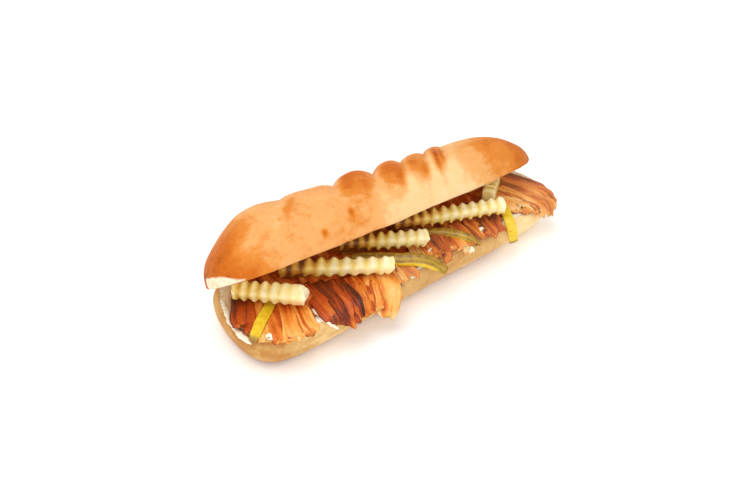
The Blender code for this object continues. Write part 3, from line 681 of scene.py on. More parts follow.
class Shader:
    """A material under construction, with short calls for the nodes that the food needs."""

    def __init__(self, name):
        self.material = bpy.data.materials.new(name)
        self.material.use_nodes = True
        self.tree = self.material.node_tree
        self.place = self.node("ShaderNodeTexCoord").outputs["Object"]
        self.set_main({"Specular IOR Level": SHINE[name]})

    def feed(self, node, inputs):
        """Set a node's sockets to values, or link them to other nodes."""
        for key, source in inputs.items():
            if isinstance(source, bpy.types.NodeSocket):
                self.tree.links.new(source, node.inputs[key])
            else:
                node.inputs[key].default_value = source

    def node(self, kind, inputs=None, **settings):
        made = self.tree.nodes.new(kind)
        for key, value in settings.items():
            setattr(made, key, value)
        self.feed(made, inputs or {})
        return made

    def set_main(self, inputs):
        self.feed(self.tree.nodes["Principled BSDF"], inputs)

    def value(self, name):
        """A value stored on the points."""
        return self.node("ShaderNodeAttribute", attribute_name=name).outputs["Fac"]

    def noise(self, size, detail, rough=0.55):
        """Noise from 0 to 1 with lumps of about size millimetres."""
        mapping = self.node("ShaderNodeMapping", {"Vector": self.place, "Scale": [1 / (size * MM)] * 3})
        inputs = {"Vector": mapping.outputs["Vector"], "Scale": 1.0, "Detail": detail, "Roughness": rough}
        return self.node("ShaderNodeTexNoise", inputs).outputs["Fac"]

    def math(self, operation, first, second, clamp=False):
        return self.node("ShaderNodeMath", {0: first, 1: second}, operation=operation,
                         use_clamp=clamp).outputs["Value"]

    def mottle(self, source, waves):
        """source with noise of several sizes added, centred on zero."""
        for amount, *texture in waves:
            centred = self.math("SUBTRACT", self.noise(*texture), 0.5)
            source = self.math("ADD", source, self.math("MULTIPLY", centred, amount))
        return source

    def ramp(self, source, stops):
        """A colour that follows source through the stops: (place, (red, green, blue))."""
        node = self.node("ShaderNodeValToRGB", {"Fac": source})
        ramp = node.color_ramp
        ramp.interpolation = "EASE"
        while len(ramp.elements) < len(stops):
            ramp.elements.new(0.5)
        for element, (place, colour) in zip(ramp.elements, stops):
            element.position = place
            element.color = tint(*colour)
        return node.outputs["Color"]

    def mix(self, share, first, second):
        return self.node("ShaderNodeMix", {0: share, 6: first, 7: second}, data_type="RGBA").outputs[2]

    def spread(self, low, high, *texture):
        """Noise between two values."""
        inputs = {"Value": self.noise(*texture), "To Min": low, "To Max": high}
        return self.node("ShaderNodeMapRange", inputs).outputs["Result"]

    def finish(self, colour, roughness, grain, relief, light, coat):
        """Set the colour and roughness, fine relief (height in millimetres, strength) of noise, light
        that scatters inside (share, depth in millimetres, colour) and a wet coat (share, roughness)."""
        bump = {"Height": self.noise(*grain), "Distance": relief[0] * MM, "Strength": relief[1]}
        self.set_main({
            "Base Color": colour,
            "Roughness": roughness,
            "Normal": self.node("ShaderNodeBump", bump).outputs["Normal"],
            "Subsurface Weight": light[0],
            "Subsurface Scale": light[1] * MM,
            "Subsurface Radius": light[2],
            "Coat Weight": coat[0],
            "Coat Roughness": coat[1],
        })
        return self.material


def crust_material(name, stops, mottling):
    """Baked crust, its colour led by the stored brown, with crumb where it is cut."""
    shader = Shader(name)
    crust = shader.ramp(shader.mottle(shader.value("brown"), mottling), stops)
    specks = shader.math("MULTIPLY", shader.ramp(shader.noise(*SPECK_NOISE), SPECKS), SPECK_SHARE)
    crust = shader.mix(specks, crust, tint(*stops[1][1]))
    crumb = shader.ramp(shader.noise(*CRUMB_NOISE), CRUMB)
    colour = shader.mix(shader.value("crumb"), crust, crumb)
    return shader.finish(colour, shader.spread(*CRUST_ROUGHNESS), *CRUST_FINISH)


def sauce_material():
    """White sauce with a wet shine, tan where it soaks into the crumb."""
    shader = Shader("white_sauce")
    soaked = shader.mottle(shader.value("soaked"), SOAKED_MOTTLING)
    soaked = shader.math("MULTIPLY", soaked, 1.0, clamp=True)
    white = shader.ramp(shader.noise(*SAUCE_NOISE), WHITE_SAUCE)
    return shader.finish(shader.mix(soaked, white, tint(*SOAKED_SAUCE)), SAUCE_ROUGHNESS, *SAUCE_FINISH)


def potato_material():
    """Fried potato, pale on its ridges and golden to brown in its grooves, with painted shade on its
    underside and under the upper half.
    """
    shader = Shader("fried_potato")
    groove = shader.mottle(shader.value("groove"), POTATO_MOTTLING)
    return shader.finish(shader.ramp(groove, POTATO), POTATO_ROUGHNESS, *POTATO_FINISH)


def pickle_material():
    """Moist yellow flesh, and olive brown skin where the stored skin says."""
    shader = Shader("pickle_slice")
    skin = shader.mottle(shader.value("skin"), SKIN_MOTTLING)
    skin = shader.math("MULTIPLY", skin, 1.0, clamp=True)
    flesh = shader.ramp(shader.noise(*FLESH_NOISE), PICKLE_FLESH)
    rind = shader.ramp(shader.noise(*RIND_NOISE), PICKLE_SKIN)
    return shader.finish(shader.mix(skin, flesh, rind), PICKLE_ROUGHNESS, *PICKLE_FINISH)


def meat_material():
    """Roast meat from pale to charred, led by the stored tone that also holds painted shade, and duller
    where it is dry.
    """
    shader = Shader("roast_meat")
    tone = shader.mottle(shader.value("tone"), MEAT_MOTTLING)
    roast = shader.mix(shader.value("dry"), shader.ramp(tone, ROAST), tint(*DRY_MEAT))
    return shader.finish(roast, shader.spread(*MEAT_ROUGHNESS), *MEAT_FINISH)


def floor_material():
    shader = Shader("pale_floor")
    shader.set_main({"Base Color": tint(*FLOOR_COLOUR), "Roughness": FLOOR_ROUGHNESS,
                     "Emission Color": tint(*FLOOR_GLOW_COLOUR), "Emission Strength": FLOOR_GLOW})
    return shader.material


# --- Roll ---

def crust_wobble(x, side):
    return sum(height * np.sin(x / run + start + shift * side) for height, run, start, shift in CRUST_WAVES)


def roll_width(t):
    return BASE_WIDTH + BASE_TAPER * t


def roll_middle(t):
    """Where the middle of the lower half lies between front and back."""
    return HINGE_Y + HINGE_DRIFT * t - roll_width(t) / 2


def base_point(t, inset, height, side):
    """A point of the lower half on the line that runs round it at one height."""
    width = roll_width(t)
    x = BASE_MIDDLE + (BASE_HALF_LENGTH - inset) * t
    bulge = np.where(side < 0, crust_wobble(x, -1) * smooth_step(height, 0, BULGE_HEIGHT), 0.0)
    half = np.maximum(0.0, width / 2 - inset + bulge) * oval(t, BASE_END_POWER)
    slant = END_SLANT[0 if side < 0 else 1] * 2 * half / width * np.maximum(0.0, t) ** END_SLANT_POWER
    return stack(x + slant, roll_middle(t) + side * half, height)


def insets_from(edge, t, steps, power=1.0):
    """Insets in steps from an edge to the middle of the roll, closer at the edge as the power grows."""
    return edge + (roll_width(t) / 2 - edge) * np.linspace(0, 1, steps)[None] ** power


def cut_face_height(t, inset):
    """Height of the lower cut face at an inset from its edge."""
    far, far_height = CUT_PROFILE[-1]
    half = roll_width(t) / 2
    inner = far_height + (CUT_FACE_MIDDLE - far_height) * np.clip((inset - far) / (half - far), 0, 1)
    return np.where(inset > far, inner, np.interp(inset, *zip(*CUT_PROFILE)))


def on_cut_face(t, inset, side, lift=0.0):
    """Points at a height over the lower cut face."""
    return base_point(t, inset, cut_face_height(t, inset) + lift, side)


def underside(t, edges, steps, lift):
    """Rows under a layer on the cut face, from its back edge to its front edge."""
    return join_sides(*(on_cut_face(t, insets_from(edge, t, steps), side, lift) for edge, side in edges))


def roll_relief(points, crumb, waves, pores):
    """Height of the crust's unevenness, and of the pits and grain where there is crumb."""
    size, closed, depth, grain_size, grain, seed = pores
    pits = np.minimum(0, noise(points, size, seed) + closed) * depth
    return uneven(points, waves) * (1 - crumb) + (pits + grain * noise(points, grain_size, seed + 2)) * crumb


def base_rows(t, side):
    """Points of one side of the lower half, from the middle of its underside round to the middle of
    its cut face, and where they are crumb."""
    half = roll_width(t) / 2
    under_share = np.linspace(0, 1, BASE_POINTS[1])[:-1]
    under = base_point(t, half + (SIDE_PROFILE[0][0] - half) * under_share, 0.0 * under_share, side)
    profile = curve_through(SIDE_PROFILE, np.linspace(0, 1, BASE_POINTS[2]))
    outside = base_point(t, profile[:, 0][None], np.maximum(profile[:, 1], 0.0)[None], side)
    inset = insets_from(RIM_INSET, t, BASE_POINTS[3], CUT_SPACING)[:, 1:]
    cut = on_cut_face(t, inset, side)
    crumb = smooth_step(inset + CRUMB_RAGGED * noise(cut, CRUMB_RAG_SIZE, 5), *CRUMB_START)
    crust = np.zeros((len(t), under.shape[1] + outside.shape[1]))
    return np.concatenate((under, outside, cut), axis=1), np.concatenate((crust, crumb), axis=1)


def make_roll_bottom(material):
    t = end_spaced(BASE_POINTS[0])[:, None]
    rings, crumb = (join_sides(*pair)[:, :-1] for pair in zip(base_rows(t, -1), base_rows(t, 1)))
    lift = smooth_step(rings[..., 2], *BASE_SMOOTH_BELOW) * smooth_step(1 - np.abs(t), 0, BASE_SMOOTH_END)
    rings = push_out(rings, roll_relief(rings, crumb, BASE_RELIEF, BASE_PORES) * lift)
    brown = BASE_BROWN + uneven(rings, BASE_MOTTLING)
    brown = brown + grow(rings[..., 0], *PALE_END) * smooth_step(rings[..., 1], *PALE_END_FRONT)
    # these bands bring in the painted contact shade along the floor
    for amount, axis, start, full in BASE_BANDS:
        brown = brown + grow(rings[..., axis], amount, start, full)
    return add_tubes("lower_roll", [(rings, {"brown": brown, "crumb": crumb})], material)


def lobe_height(place, across):
    """How far the puffed lobes stand out of the crown of the upper half."""
    foot = math.sqrt(1 - LOBE_ARC ** 2)
    height = 0.0
    for left, right, high in zip(LOBE_VALLEYS, LOBE_VALLEYS[1:], LOBE_HEIGHTS):
        offset = np.minimum(1.0, np.abs(2 * place - left - right) / (right - left))
        height = np.maximum(height, high * (np.sqrt(1 - (LOBE_ARC * offset) ** 2) - foot) / (1 - foot))
    return height * smooth_step(across, *LOBE_FADE_BACK) * (1 - smooth_step(across, *LOBE_FADE_FRONT))


def lean_station(station, across):
    """Place along the lid, from -1 to 1, of a station that leans with the lobes."""
    return station - LOBE_SLANT * (across - LOBE_ROOT) * (1 - station ** 4)


def lid_point(t, across, rise):
    """A point of the upper half. across runs from -1 at the hinge side to 1 at the lip,
    and rise is the height over its cut face."""
    opening = np.radians(LID_OPENING + LID_TWIST * t)
    out = roll_width(t) / 2 * (1 + across * oval(t, LID_END_POWER))
    y = HINGE_Y + HINGE_DRIFT * t - out * np.cos(opening) + rise * np.sin(opening)
    z = HINGE_Z + out * np.sin(opening) + rise * np.cos(opening)
    return stack(LID_MIDDLE + LID_HALF_LENGTH * t, y, z)


def dome_point(station, across):
    """A point on the crust of the upper half, its place along and across, and its height
    over the cut face."""
    t = lean_station(station, across)
    end = oval(t, LID_END_POWER)
    x = LID_MIDDLE + LID_HALF_LENGTH * t
    place = LID_MIDDLE + LID_HALF_LENGTH * station
    height = (LID_HEIGHT + LID_HEIGHT_CHANGE * t) * oval(t, LID_CROWN_POWER)
    for middle, reach, high in LID_SWELLS:
        height = height + high * end * hump(x, middle, reach)
    section = np.maximum(0.0, 1 - np.abs(across) ** LID_SECTION_POWER) ** LID_SECTION_ROOT
    relief = (crust_wobble(x, across) + lobe_height(place, across)) * end
    lean = np.sqrt(np.maximum(0.0, 1 - across * across))
    rise = LID_EDGE * end + height * section + relief * lean
    return lid_point(t, across * (1 + relief * np.abs(across) / roll_width(t)), rise), x, place, rise


def crust_brown(x, across, place):
    """How brown the upper crust is: pale along the lip, golden on the lobes, darkest at both ends, with
    painted shade on the lobes' right flanks and painted light just right of the valleys.
    """
    x, across, place = np.broadcast_arrays(x, across, place)
    brown = LID_BROWN + sum(grow(x, *end) for end in LID_ENDS)
    # paler right of each valley, partly painted light on the lobes' left faces
    valley = sum(hump(place - low, VALLEY_SHIFT, VALLEY_REACH) for low in LOBE_VALLEYS[1:])
    for amount, start, full, gone, last, pull, low, high in LID_BANDS:
        band = grow(place, amount, start, full) * smooth_step(place, gone, last)
        brown = brown + band * smooth_step(across + pull * valley, low, high)
    # painted shade and light on the lobes come in with these marks
    for middle, where, reach, spread, amount, slant in CRUST_MARKS:
        slanted = place - slant * (across - where)
        brown = brown + amount * hump(slanted, middle, reach) * hump(across, where, spread)
    return brown


def torn_band(dome, x, across, rise):
    """Where the lip's crust is torn off at the left end and bare crumb shows."""
    torn = TORN_HEIGHT * (1 - smooth_step(x, *TORN_ALONG)) * smooth_step(across, *TORN_ACROSS)
    ragged = TORN_RAGGED * noise(dome, TORN_RAG_SIZE, 3)
    return smooth_step(torn + ragged - rise, *TORN_EDGE) * smooth_step(torn, *TORN_START)


def make_roll_top(material):
    station = end_spaced(LID_POINTS[0])[:, None]
    across = -np.cos(np.linspace(0, math.pi, LID_POINTS[1]))[None]
    dome, x, place, rise = dome_point(station, across)
    inner = np.linspace(*LID_FLOOR, LID_POINTS[2])[None]
    t = lean_station(station, inner)
    floor = lid_point(t, inner, LID_HOLLOW * oval(t, LID_END_POWER) * (1 - inner ** 2))
    rings = np.concatenate((dome, floor), axis=1)
    floor_crumb = np.broadcast_to(smooth_step(-inner, *LID_CRUMB), floor.shape[:2])
    crumb = np.concatenate((torn_band(dome, x, across, rise), floor_crumb), axis=1)
    brown = np.pad(crust_brown(x, across, place), ((0, 0), (0, floor.shape[1])), mode="edge")
    lift = smooth_step(1 - np.abs(station), 0, LID_SMOOTH_END)
    rings = push_out(rings, roll_relief(rings, crumb, LID_RELIEF, LID_PORES) * lift)
    return add_tubes("upper_roll", [(rings, {"brown": brown, "crumb": crumb})], material)


# --- Sauce ---

def sauce_inset(t, side):
    """Inset of the sauce's edge, with blobs that push out over the front rim."""
    x = BASE_MIDDLE + BASE_HALF_LENGTH * t
    side_share = side * (1 - np.abs(t) ** BASE_END_POWER)
    edge = SAUCE_INSET + (SAUCE_BACK_INSET - SAUCE_INSET) * np.maximum(0.0, side_share)
    inset = edge + sum(height * np.sin(x / run + side_share) for height, run in SAUCE_WAVES)
    for middle, push in SAUCE_BLOBS:
        inset = inset - push * np.maximum(0.0, -side_share) * hump(x, middle, BLOB_WIDTH)
    return np.maximum(inset, RIM_INSET)


def sauce_top(t, side):
    """Rows of the sauce's lumpy top, its rounded edge sunk into the crumb."""
    edge = sauce_inset(t, side)
    inset = insets_from(edge, t, SAUCE_POINTS[1], 2)
    away = np.minimum(1.0, (inset - edge) / SAUCE_SHOULDER)
    round_edge = np.sqrt(1 - (1 - away) ** 2)
    top = on_cut_face(t, inset, side)
    lift = (SAUCE_DEPTH + SAUCE_SINK) * round_edge - SAUCE_SINK + uneven(top, SAUCE_LUMPS) * round_edge
    top[..., 2] = top[..., 2] + lift
    return top


def make_sauce(material):
    t = end_spaced(SAUCE_POINTS[0])[:, None]
    top = join_sides(sauce_top(t, -1), sauce_top(t, 1))
    edges = [(sauce_inset(t, side) + SAUCE_EDGE, side) for side in (1, -1)]
    rings = np.concatenate((top, underside(t, edges, SAUCE_POINTS[2], -SAUCE_SINK)), axis=1)
    soaked = grow(rings[..., 0], *SOAKED_LEFT) * smooth_step(rings[..., 1], *SOAKED_LEFT_BACK)
    soaked = soaked + smooth_step(rings[..., 0], *SOAKED_RIGHT) - UNSOAKED
    parts = [(rings, {"soaked": soaked})]
    for seed, (knots, half_width, half_height) in enumerate(DABS):
        parts.append((dab_rings(knots, half_width, half_height, seed), {"soaked": -UNSOAKED}))
    return add_tubes("sauce_layer", parts, material, capped=True)


def dab_rings(knots, half_width, half_height, seed):
    """Rings of a lumpy streak of sauce along a path."""
    places = (end_spaced(DAB_POINTS[0]) + 1) / 2
    path = curve_through(knots, places)
    end = np.sqrt(np.maximum(DAB_TIP, 1 - (2 * places - 1) ** 4))
    lumps = 1 + uneven(path + seed * SEED_SHIFT, DAB_LUMPS, seed)
    section = squared_circle(DAB_POINTS[1], 1, 1)
    rings = sweep(path, half_width * end * lumps, half_height * end, DAB_FACING, *section)
    return push_out(rings, uneven(rings, DAB_RELIEF, seed))


# --- Fries and pickles ---

def ridge_wave(angle, power):
    """Crests with wider grooves between them as the power grows, from -1 to 1."""
    return 2 * (0.5 + 0.5 * np.cos(angle)) ** power - 1


def close_ends(rings):
    """Add ever smaller rings across both ends of a tube."""
    first, last = rings[0], rings[-1]
    shares = np.array(END_RINGS)[:, None, None]
    start = first.mean(axis=0) + (first - first.mean(axis=0)) * shares
    stop = last.mean(axis=0) + (last - last.mean(axis=0)) * shares[::-1]
    return np.concatenate((start, rings, stop))


def like_closed(values):
    """Values at the rings of a tube, carried on over its closed ends."""
    return np.pad(values, ((len(END_RINGS), len(END_RINGS)), (0, 0)), mode="edge")


def fry_directions(along, turn):
    """Directions across a fry and up it, turned about its length."""
    level = unit(np.cross((0.0, 0.0, 1.0), along))
    upright = np.cross(along, level)
    turned = math.radians(turn)
    wide = level * math.cos(turned) + upright * math.sin(turned)
    return wide, upright * math.cos(turned) - level * math.sin(turned)


def fry_run(length, pitch):
    """Places along a fry with its rounded ends, and its width there as a share of the full one."""
    ends = FRY_ROUND * (1 - np.cos(np.linspace(0, math.pi / 2, FRY_END_RINGS)))[:-1]
    inner = FRY_ROUND - FRY_END
    middle = np.linspace(inner, length - inner, round(length / pitch * FRY_POINTS[0]))
    run = np.concatenate((ends - FRY_END, middle, length + FRY_END - ends[::-1]))[:, None]
    shrink = np.clip(np.minimum(run + FRY_END, length + FRY_END - run) / FRY_ROUND, 0, 1)
    return run, FRY_END_SHARE + (1 - FRY_END_SHARE) * np.sqrt(1 - (1 - shrink) ** 2)


def fry_groove(fry, run, length, angle, wave, low, above):
    """How dark the potato is in its grooves, notches and far end, with painted shade on its underside and
    partly on its ridges.
    """
    fade = smooth_step(run, BANDS_FADE[0] * length, BANDS_FADE[1] * length)
    bands = np.cos(angle + fry.lean) * (1 - BANDS_FADED * fry.fade * fade)
    # the bands and the underside add painted shade
    groove = POTATO_TONE - BAND_TONE * bands - WAVE_TONE * wave + grow(-above, *UNDERSIDE_TONE)
    groove = groove + fry.teeth * grow(-above, *NOTCH_TONE) * (1 - low) / 2
    return groove + grow(run, TIP_TONE, length - TIP_REACH, length)


def fry_waves(fry, angle, above, near_end):
    """A fry's ridges from -1 to 1, pointed below and level at its ends, and the lower ones alone."""
    high = ridge_wave(angle + fry.lean, fry.narrow)
    low = ridge_wave(angle - fry.lean, 1 + fry.teeth)
    wave = low + (high - low) * smooth_step(above, *RIDGE_TURN)
    return wave + (END_WAVE - wave) * near_end, low


def fry_section(fry, run, length, a, b, wave, seed):
    """How far a fry reaches across and up, its ridges full along two of its edges and soft on its faces."""
    face = FACE_RIDGE + (EDGE_RIDGE - FACE_RIDGE) * smooth_step(np.abs(a + b) / 2, *FACE_REACH)
    fade = smooth_step(run, RIDGES_FADE[0] * length, RIDGES_FADE[1] * length)
    relief = wave * face * (1 - fry.fade * fade)
    core = (fry.side / 2 - FRY_RIDGE * FRY_CORE) * (1 + uneven(on_line(run, seed), FRY_UNEVEN, seed))
    ridge = FRY_RIDGE * (RIDGE_BELOW + (RIDGE_ABOVE - RIDGE_BELOW) * (1 + b) / 2)
    return a * (core + FRY_RIDGE * fry.across * relief), b * (core + ridge * relief)


def make_fry(fry, material):
    """A square stick with ridges across it and rough, slanting ends."""
    start, end = np.array(fry.start), np.array(fry.end)
    length = float(np.linalg.norm(end - start))
    along = unit(end - start)
    wide, tall = fry_directions(along, fry.turn)
    seed = name_seed(fry.name)
    a, b = squared_circle(FRY_POINTS[1], FRY_POWER, FRY_POWER)
    above = (a + b) / 2
    run, reach = fry_run(length, fry.pitch)
    reach = reach * (1 + fry.flare * (2 * run / length - 1))
    angle = 2 * math.pi * run / fry.pitch + uneven(on_line(run, seed), RIDGE_DRIFT, seed)
    near_end = 1 - smooth_step(np.minimum(run, length - run), END_START, END_SOLID)
    wave, low = fry_waves(fry, angle, above, near_end)
    out, rise = fry_section(fry, run, length, a, b, wave, seed)
    far_end = smooth_step(run, length - CUT_REACH * END_SOLID, length)
    cut_back = fry.cut_above * np.maximum(0, above) ** 2 + fry.cut_below * np.maximum(0, -above) ** 2
    rings = lay_out(start, (along, run - far_end * cut_back), (wide, out * reach), (tall, rise * reach))
    groove = fry_groove(fry, run, length, angle, wave, low, above)
    # painted shade where the upper half shades the fries
    groove = like_closed(groove + fry.browned * smooth_step(rings[..., 1], *UNDER_LID))
    rings = close_ends(rings)
    rough = uneven(rings, FRY_ROUGH, seed) + like_closed(near_end) * uneven(rings, FRY_END_ROUGH, seed)
    rings = push_out(rings, rough)
    return add_tubes(fry.name + "_potato", [(rings, {"groove": groove})], material, capped=True)


def make_pickle(spec, material):
    """A strip with squared edges, or a blade with its skin above and its yellow flesh in front."""
    name, knots, half_width, half_height, taper, facing, is_strip = spec
    if is_strip:
        a, b = squared_circle(PICKLE_POINTS[1], STRIP_ROUNDNESS, STRIP_ROUNDNESS)
    else:
        corners = curve_through(BLADE_SECTION + BLADE_SECTION[:1], np.linspace(0, 1, PICKLE_POINTS[1] + 1))
        a, b = corners[:-1].T[:, None]
    places = (end_spaced(PICKLE_POINTS[0]) + 1) / 2
    t = np.abs(2 * places - 1)
    closing = np.clip((t - PICKLE_END) / (1 - PICKLE_END), 0, 1)
    round_end = np.sqrt(np.maximum(0.0, 1 - closing ** 2) * (1 - PICKLE_TIP) + PICKLE_TIP)
    share = (1 - taper * t ** PICKLE_TAPER_POWER) * round_end
    thickness = half_height * (1 - PICKLE_THINNING + PICKLE_THINNING * share)
    rings = sweep(curve_through(knots, places), half_width * share, thickness, facing, a, b)
    rings = push_out(rings, uneven(rings, PICKLE_RELIEF, name_seed(name)))
    skin = strip_skin(a, places[:, None]) if is_strip else blade_skin(a, b, places[:, None])
    return add_tubes(name + "_slice", [(rings, {"skin": skin})], material, capped=True)


def strip_skin(a, places):
    """Skin at a strip's far end and along one edge."""
    return grow(places, *STRIP_END_SKIN) + grow(a, *STRIP_EDGE_SKIN)


def blade_skin(a, b, places):
    """Skin all over a blade but for its front edge, with a paler streak along its top."""
    streak = STREAK_TONE * hump(a, *STREAK_PLACE) * smooth_step(b, *STREAK_ABOVE)
    return 1.0 - smooth_step(a, *BLADE_FLESH) * (1 - smooth_step(places, *BLADE_FLESH_END)) - streak


# --- Meat ---

def between(knots, share):
    """The point at a share of the way along a chain of knots."""
    place = share * (len(knots) - 1)
    k = min(int(place), len(knots) - 2)
    return np.array(knots[k]) + (np.array(knots[k + 1]) - np.array(knots[k])) * (place - k)


def rest_height(x, y):
    """Height of what a slice rests on at a place, or zero outside the roll."""
    t = (x - BASE_MIDDLE) / BASE_HALF_LENGTH
    inset = roll_width(t) / 2 * oval(t, BASE_END_POWER) - abs(y - roll_middle(t))
    if inset < 0:
        return 0.0
    return float(cut_face_height(t, inset)) + (SAUCE_DEPTH if inset > SAUCE_UNDER_MEAT else 0.0)


def slice_knots(root, tip, half_height, rng):
    """Five points that a slice of meat follows from under the fries out over the rim."""
    on_roll = [share for share in SLICE_BENDS if rest_height(*(root + (tip - root) * share)[:2]) > 0]
    middle = root + (tip - root) * max(on_roll, default=SLICE_BENDS[0])
    lift = SLICE_LIFT / 2 + EVENNESS * (rng.uniform(0.0, SLICE_LIFT) - SLICE_LIFT / 2)
    middle[2] = max(middle[2], RIM_HEIGHT + SLICE_CLEARANCE) + lift
    path = curve_through((root, middle, tip), np.linspace(0, 1, SLICE_RINGS))
    for point in path:
        point[2] = max(point[2], rest_height(point[0], point[1]) + half_height + CARVE)
    return path


def slice_relief(grain, tall, b, seed):
    """Height of a slice's ripples, fibres and cracks, and the painted shade that darkens its fibres and
    cracks.
    """
    fibres = uneven(grain, FIBRES, seed)
    cracks = -np.maximum(0, noise(grain, CRACK_SIZE, seed + 2) - CRACK_START) * CRACK
    relief = (uneven(grain, RIPPLES, seed) + fibres + cracks) * np.clip(tall / FULL_RELIEF, LEAST_RELIEF, 1)
    # painted shade in the cracks and between the fibres
    lines = np.clip(-cracks * CRACK_TONE - np.minimum(0, fibres) * FIBRE_TONE, 0, DARKEST_LINE)
    return relief * np.where(b > 0, 1.0, RELIEF_BELOW), lines


def slice_rings(knots, widths, heights, facing, seed, counts, fray):
    """A thin rippled sheet with fibres along it, roasted edges and a ragged far end, and its tone with
    painted shade at its root and in its cracks.
    """
    places = np.linspace(0, 1, counts[0])
    path = curve_through(knots, places)
    length = float(np.linalg.norm(np.diff(path, axis=0), axis=1).sum())
    a, b = squared_circle(counts[1], *SLICE_POWERS)
    known = np.linspace(0, 1, len(widths))
    wide = np.interp(places, known, widths)[:, None]
    tall = (np.interp(places, known, heights) * (1 - grow(places, *TIP_THINNING)))[:, None]
    places = places[:, None]
    run = places * length
    sideways = a * wide
    grain = stack(sideways, run, seed * GRAIN_SHIFT + b * tall * GRAIN_DEPTH)
    relief, lines = slice_relief(grain, tall, b, seed)
    edge = 1 + uneven(stack(run, np.sign(a) * EDGE_SPACING, run * 0 + seed), EDGE_WAVES, seed)
    closing = ((places - SLICE_END) / (1 - SLICE_END)).clip(0, 1)
    close = np.sqrt(np.clip(1 - closing ** 2, SLICE_TIP, 1))
    along, across, up = path_frame(path, facing)
    wander = uneven(on_line(run, seed), WANDER, seed)
    path = path + across * (wander * smooth_step(places, *WANDER_START))
    fringe = uneven(on_line(sideways, seed), FRINGE, seed) - SHORTER
    ragged = fray * smooth_step(places, *FRAYED) * fringe
    width = sideways * edge * (CLOSED_WIDTH + (1 - CLOSED_WIDTH) * close)
    height = (b * tall + relief * np.abs(b) ** 0.5) * close - CURL * tall * a * a
    edges = sum(grow(a, *band) for band in ROASTED_EDGES)
    # the tone holds painted shade in the cracks, between the fibres and at the root
    tone = uneven(grain, STREAKS, seed) + lines + edges + sum(grow(places, *band) for band in END_TONES)
    return lay_out(path, (across, width), (up, height), (along, ragged)), tone


def press_under(rings, ceiling):
    """Push points down to just below the fries and pickles that lie on them."""
    flat = rings.reshape(-1, 3)
    for i, point in enumerate(flat):
        if point[2] < PRESS_FROM:
            continue
        low = in_frame(point)
        hit = ceiling.ray_cast(Vector((low.x, low.y, RAY_START * MM)), Vector((0, 0, 1)))[0]
        if hit is not None and low.z > hit.z - PRESS_GAP * MM:
            flat[i, 2] = (hit.z - PRESS_GAP * MM) / MM
    return flat.reshape(rings.shape)


def bed_top(t, side):
    """Rows of the bed's uneven top, below the upper half."""
    inset = insets_from(BED_INSET + (0.0 if side < 0 else BED_BACK), t, BED_POINTS[1])
    top = base_point(t, inset, 0.0 * inset, side)
    roof = HINGE_Z + (HINGE_Y - top[..., 1]) * np.tan(np.radians(LID_OPENING + LID_TWIST * t)) - BED_ROOM
    bump = sum(height * np.sin(top[..., 0] / run + top[..., 1] / rise) for height, run, rise in BED_WAVES)
    if side < 0:
        bump = bump * smooth_step(inset, *BED_SLOPE) - BED_DROP * (1 - smooth_step(inset, *BED_SLOPE))
    top[..., 2] = np.minimum(BED_TOP + bump + uneven(top, BED_RELIEF), roof)
    return top


def make_bed():
    """The flat layer of meat that the fries and pickles lie on, and its tone."""
    t = (BED_REACH * end_spaced(BED_POINTS[0]))[:, None]
    top = join_sides(bed_top(t, -1), bed_top(t, 1))
    edges = [(BED_INSET + BED_UNDER_INSET, side) for side in (1, -1)]
    rings = np.concatenate((top, underside(t, edges, BED_POINTS[2], SAUCE_DEPTH + BED_UNDER_GAP)), axis=1)
    return rings, BED_TONE + uneven(rings, BED_MOTTLING)


def bunch_slices(bunch, rng, looks, seeds):
    """Rings and tone of each slice of a bunch, side by side from left to right."""
    low, high = 1 - SLICE_UNEVEN, 1 + SLICE_UNEVEN
    for i, darkness in enumerate(bunch.tones):
        share = i / (len(bunch.tones) - 1)
        root = between(bunch.roots, share) + np.array([rng.uniform(*SCATTER), rng.uniform(*SCATTER), 0.0])
        tip = between(bunch.tips, share) + np.array([rng.uniform(*SCATTER), rng.uniform(*TIP_SCATTER), 0.0])
        width = bunch.half_width * rng.uniform(*SLICE_SIZES)
        knots = slice_knots(root, tip, bunch.half_height, rng)
        widths = [bunch.spread * width * part * rng.uniform(low, high) for part in SLICE_WIDTHS]
        heights = [THINNESS * bunch.half_height * part * rng.uniform(low, high) for part in SLICE_HEIGHTS]
        knots = curve_through(knots, np.linspace(0, looks.uniform(SHORTEST, 1), SLICE_RINGS))
        lean = LEAN + EVENNESS * (rng.uniform(*LEANS) - LEAN)
        facing = unit(np.array((lean, *SLICE_FACING)))
        rings, tone = slice_rings(knots, widths, heights, facing, next(seeds), SLICE_POINTS, SLICE_FRAY)
        yield rings, tone + darkness


def bunch_strips(bunch, looks, seeds):
    """Rings and tone of each thin strip that lies on a bunch."""
    facing = unit(np.array((STRIP_LEAN, *SLICE_FACING)))
    for i in range(bunch.strips):
        share = looks.uniform(*STRIP_SHARES)
        root = between(bunch.roots, share)
        tip_share = share + looks.uniform(-STRIP_SLANT, STRIP_SLANT)
        tip = between(bunch.tips, min(1.0, max(0.0, tip_share)))
        start = looks.uniform(*STRIP_STARTS)
        stop = looks.uniform(*STRIP_STOPS)
        knots = slice_knots(root, tip, bunch.half_height, looks)
        knots = curve_through(knots, np.linspace(start, stop, SLICE_RINGS))
        knots[:, 2] += LAYER * looks.uniform(*STRIP_LAYERS)
        knots[1:4, 0] += looks.uniform(-STRIP_BEND, STRIP_BEND)
        thin = looks.uniform(*STRIP_HALF_WIDTHS)
        rings, tone = slice_rings(knots, [thin * part for part in STRIP_WIDTHS], STRIP_HEIGHTS, facing,
                                  next(seeds), STRIP_POINTS, STRIP_FRAY)
        darkness = bunch.tones[min(len(bunch.tones) - 1, int(share * len(bunch.tones)))]
        tone = tone + darkness + looks.uniform(*STRIP_TONES) + (DARK_STRIP if i % 3 == 2 else 0.0)
        yield rings, tone


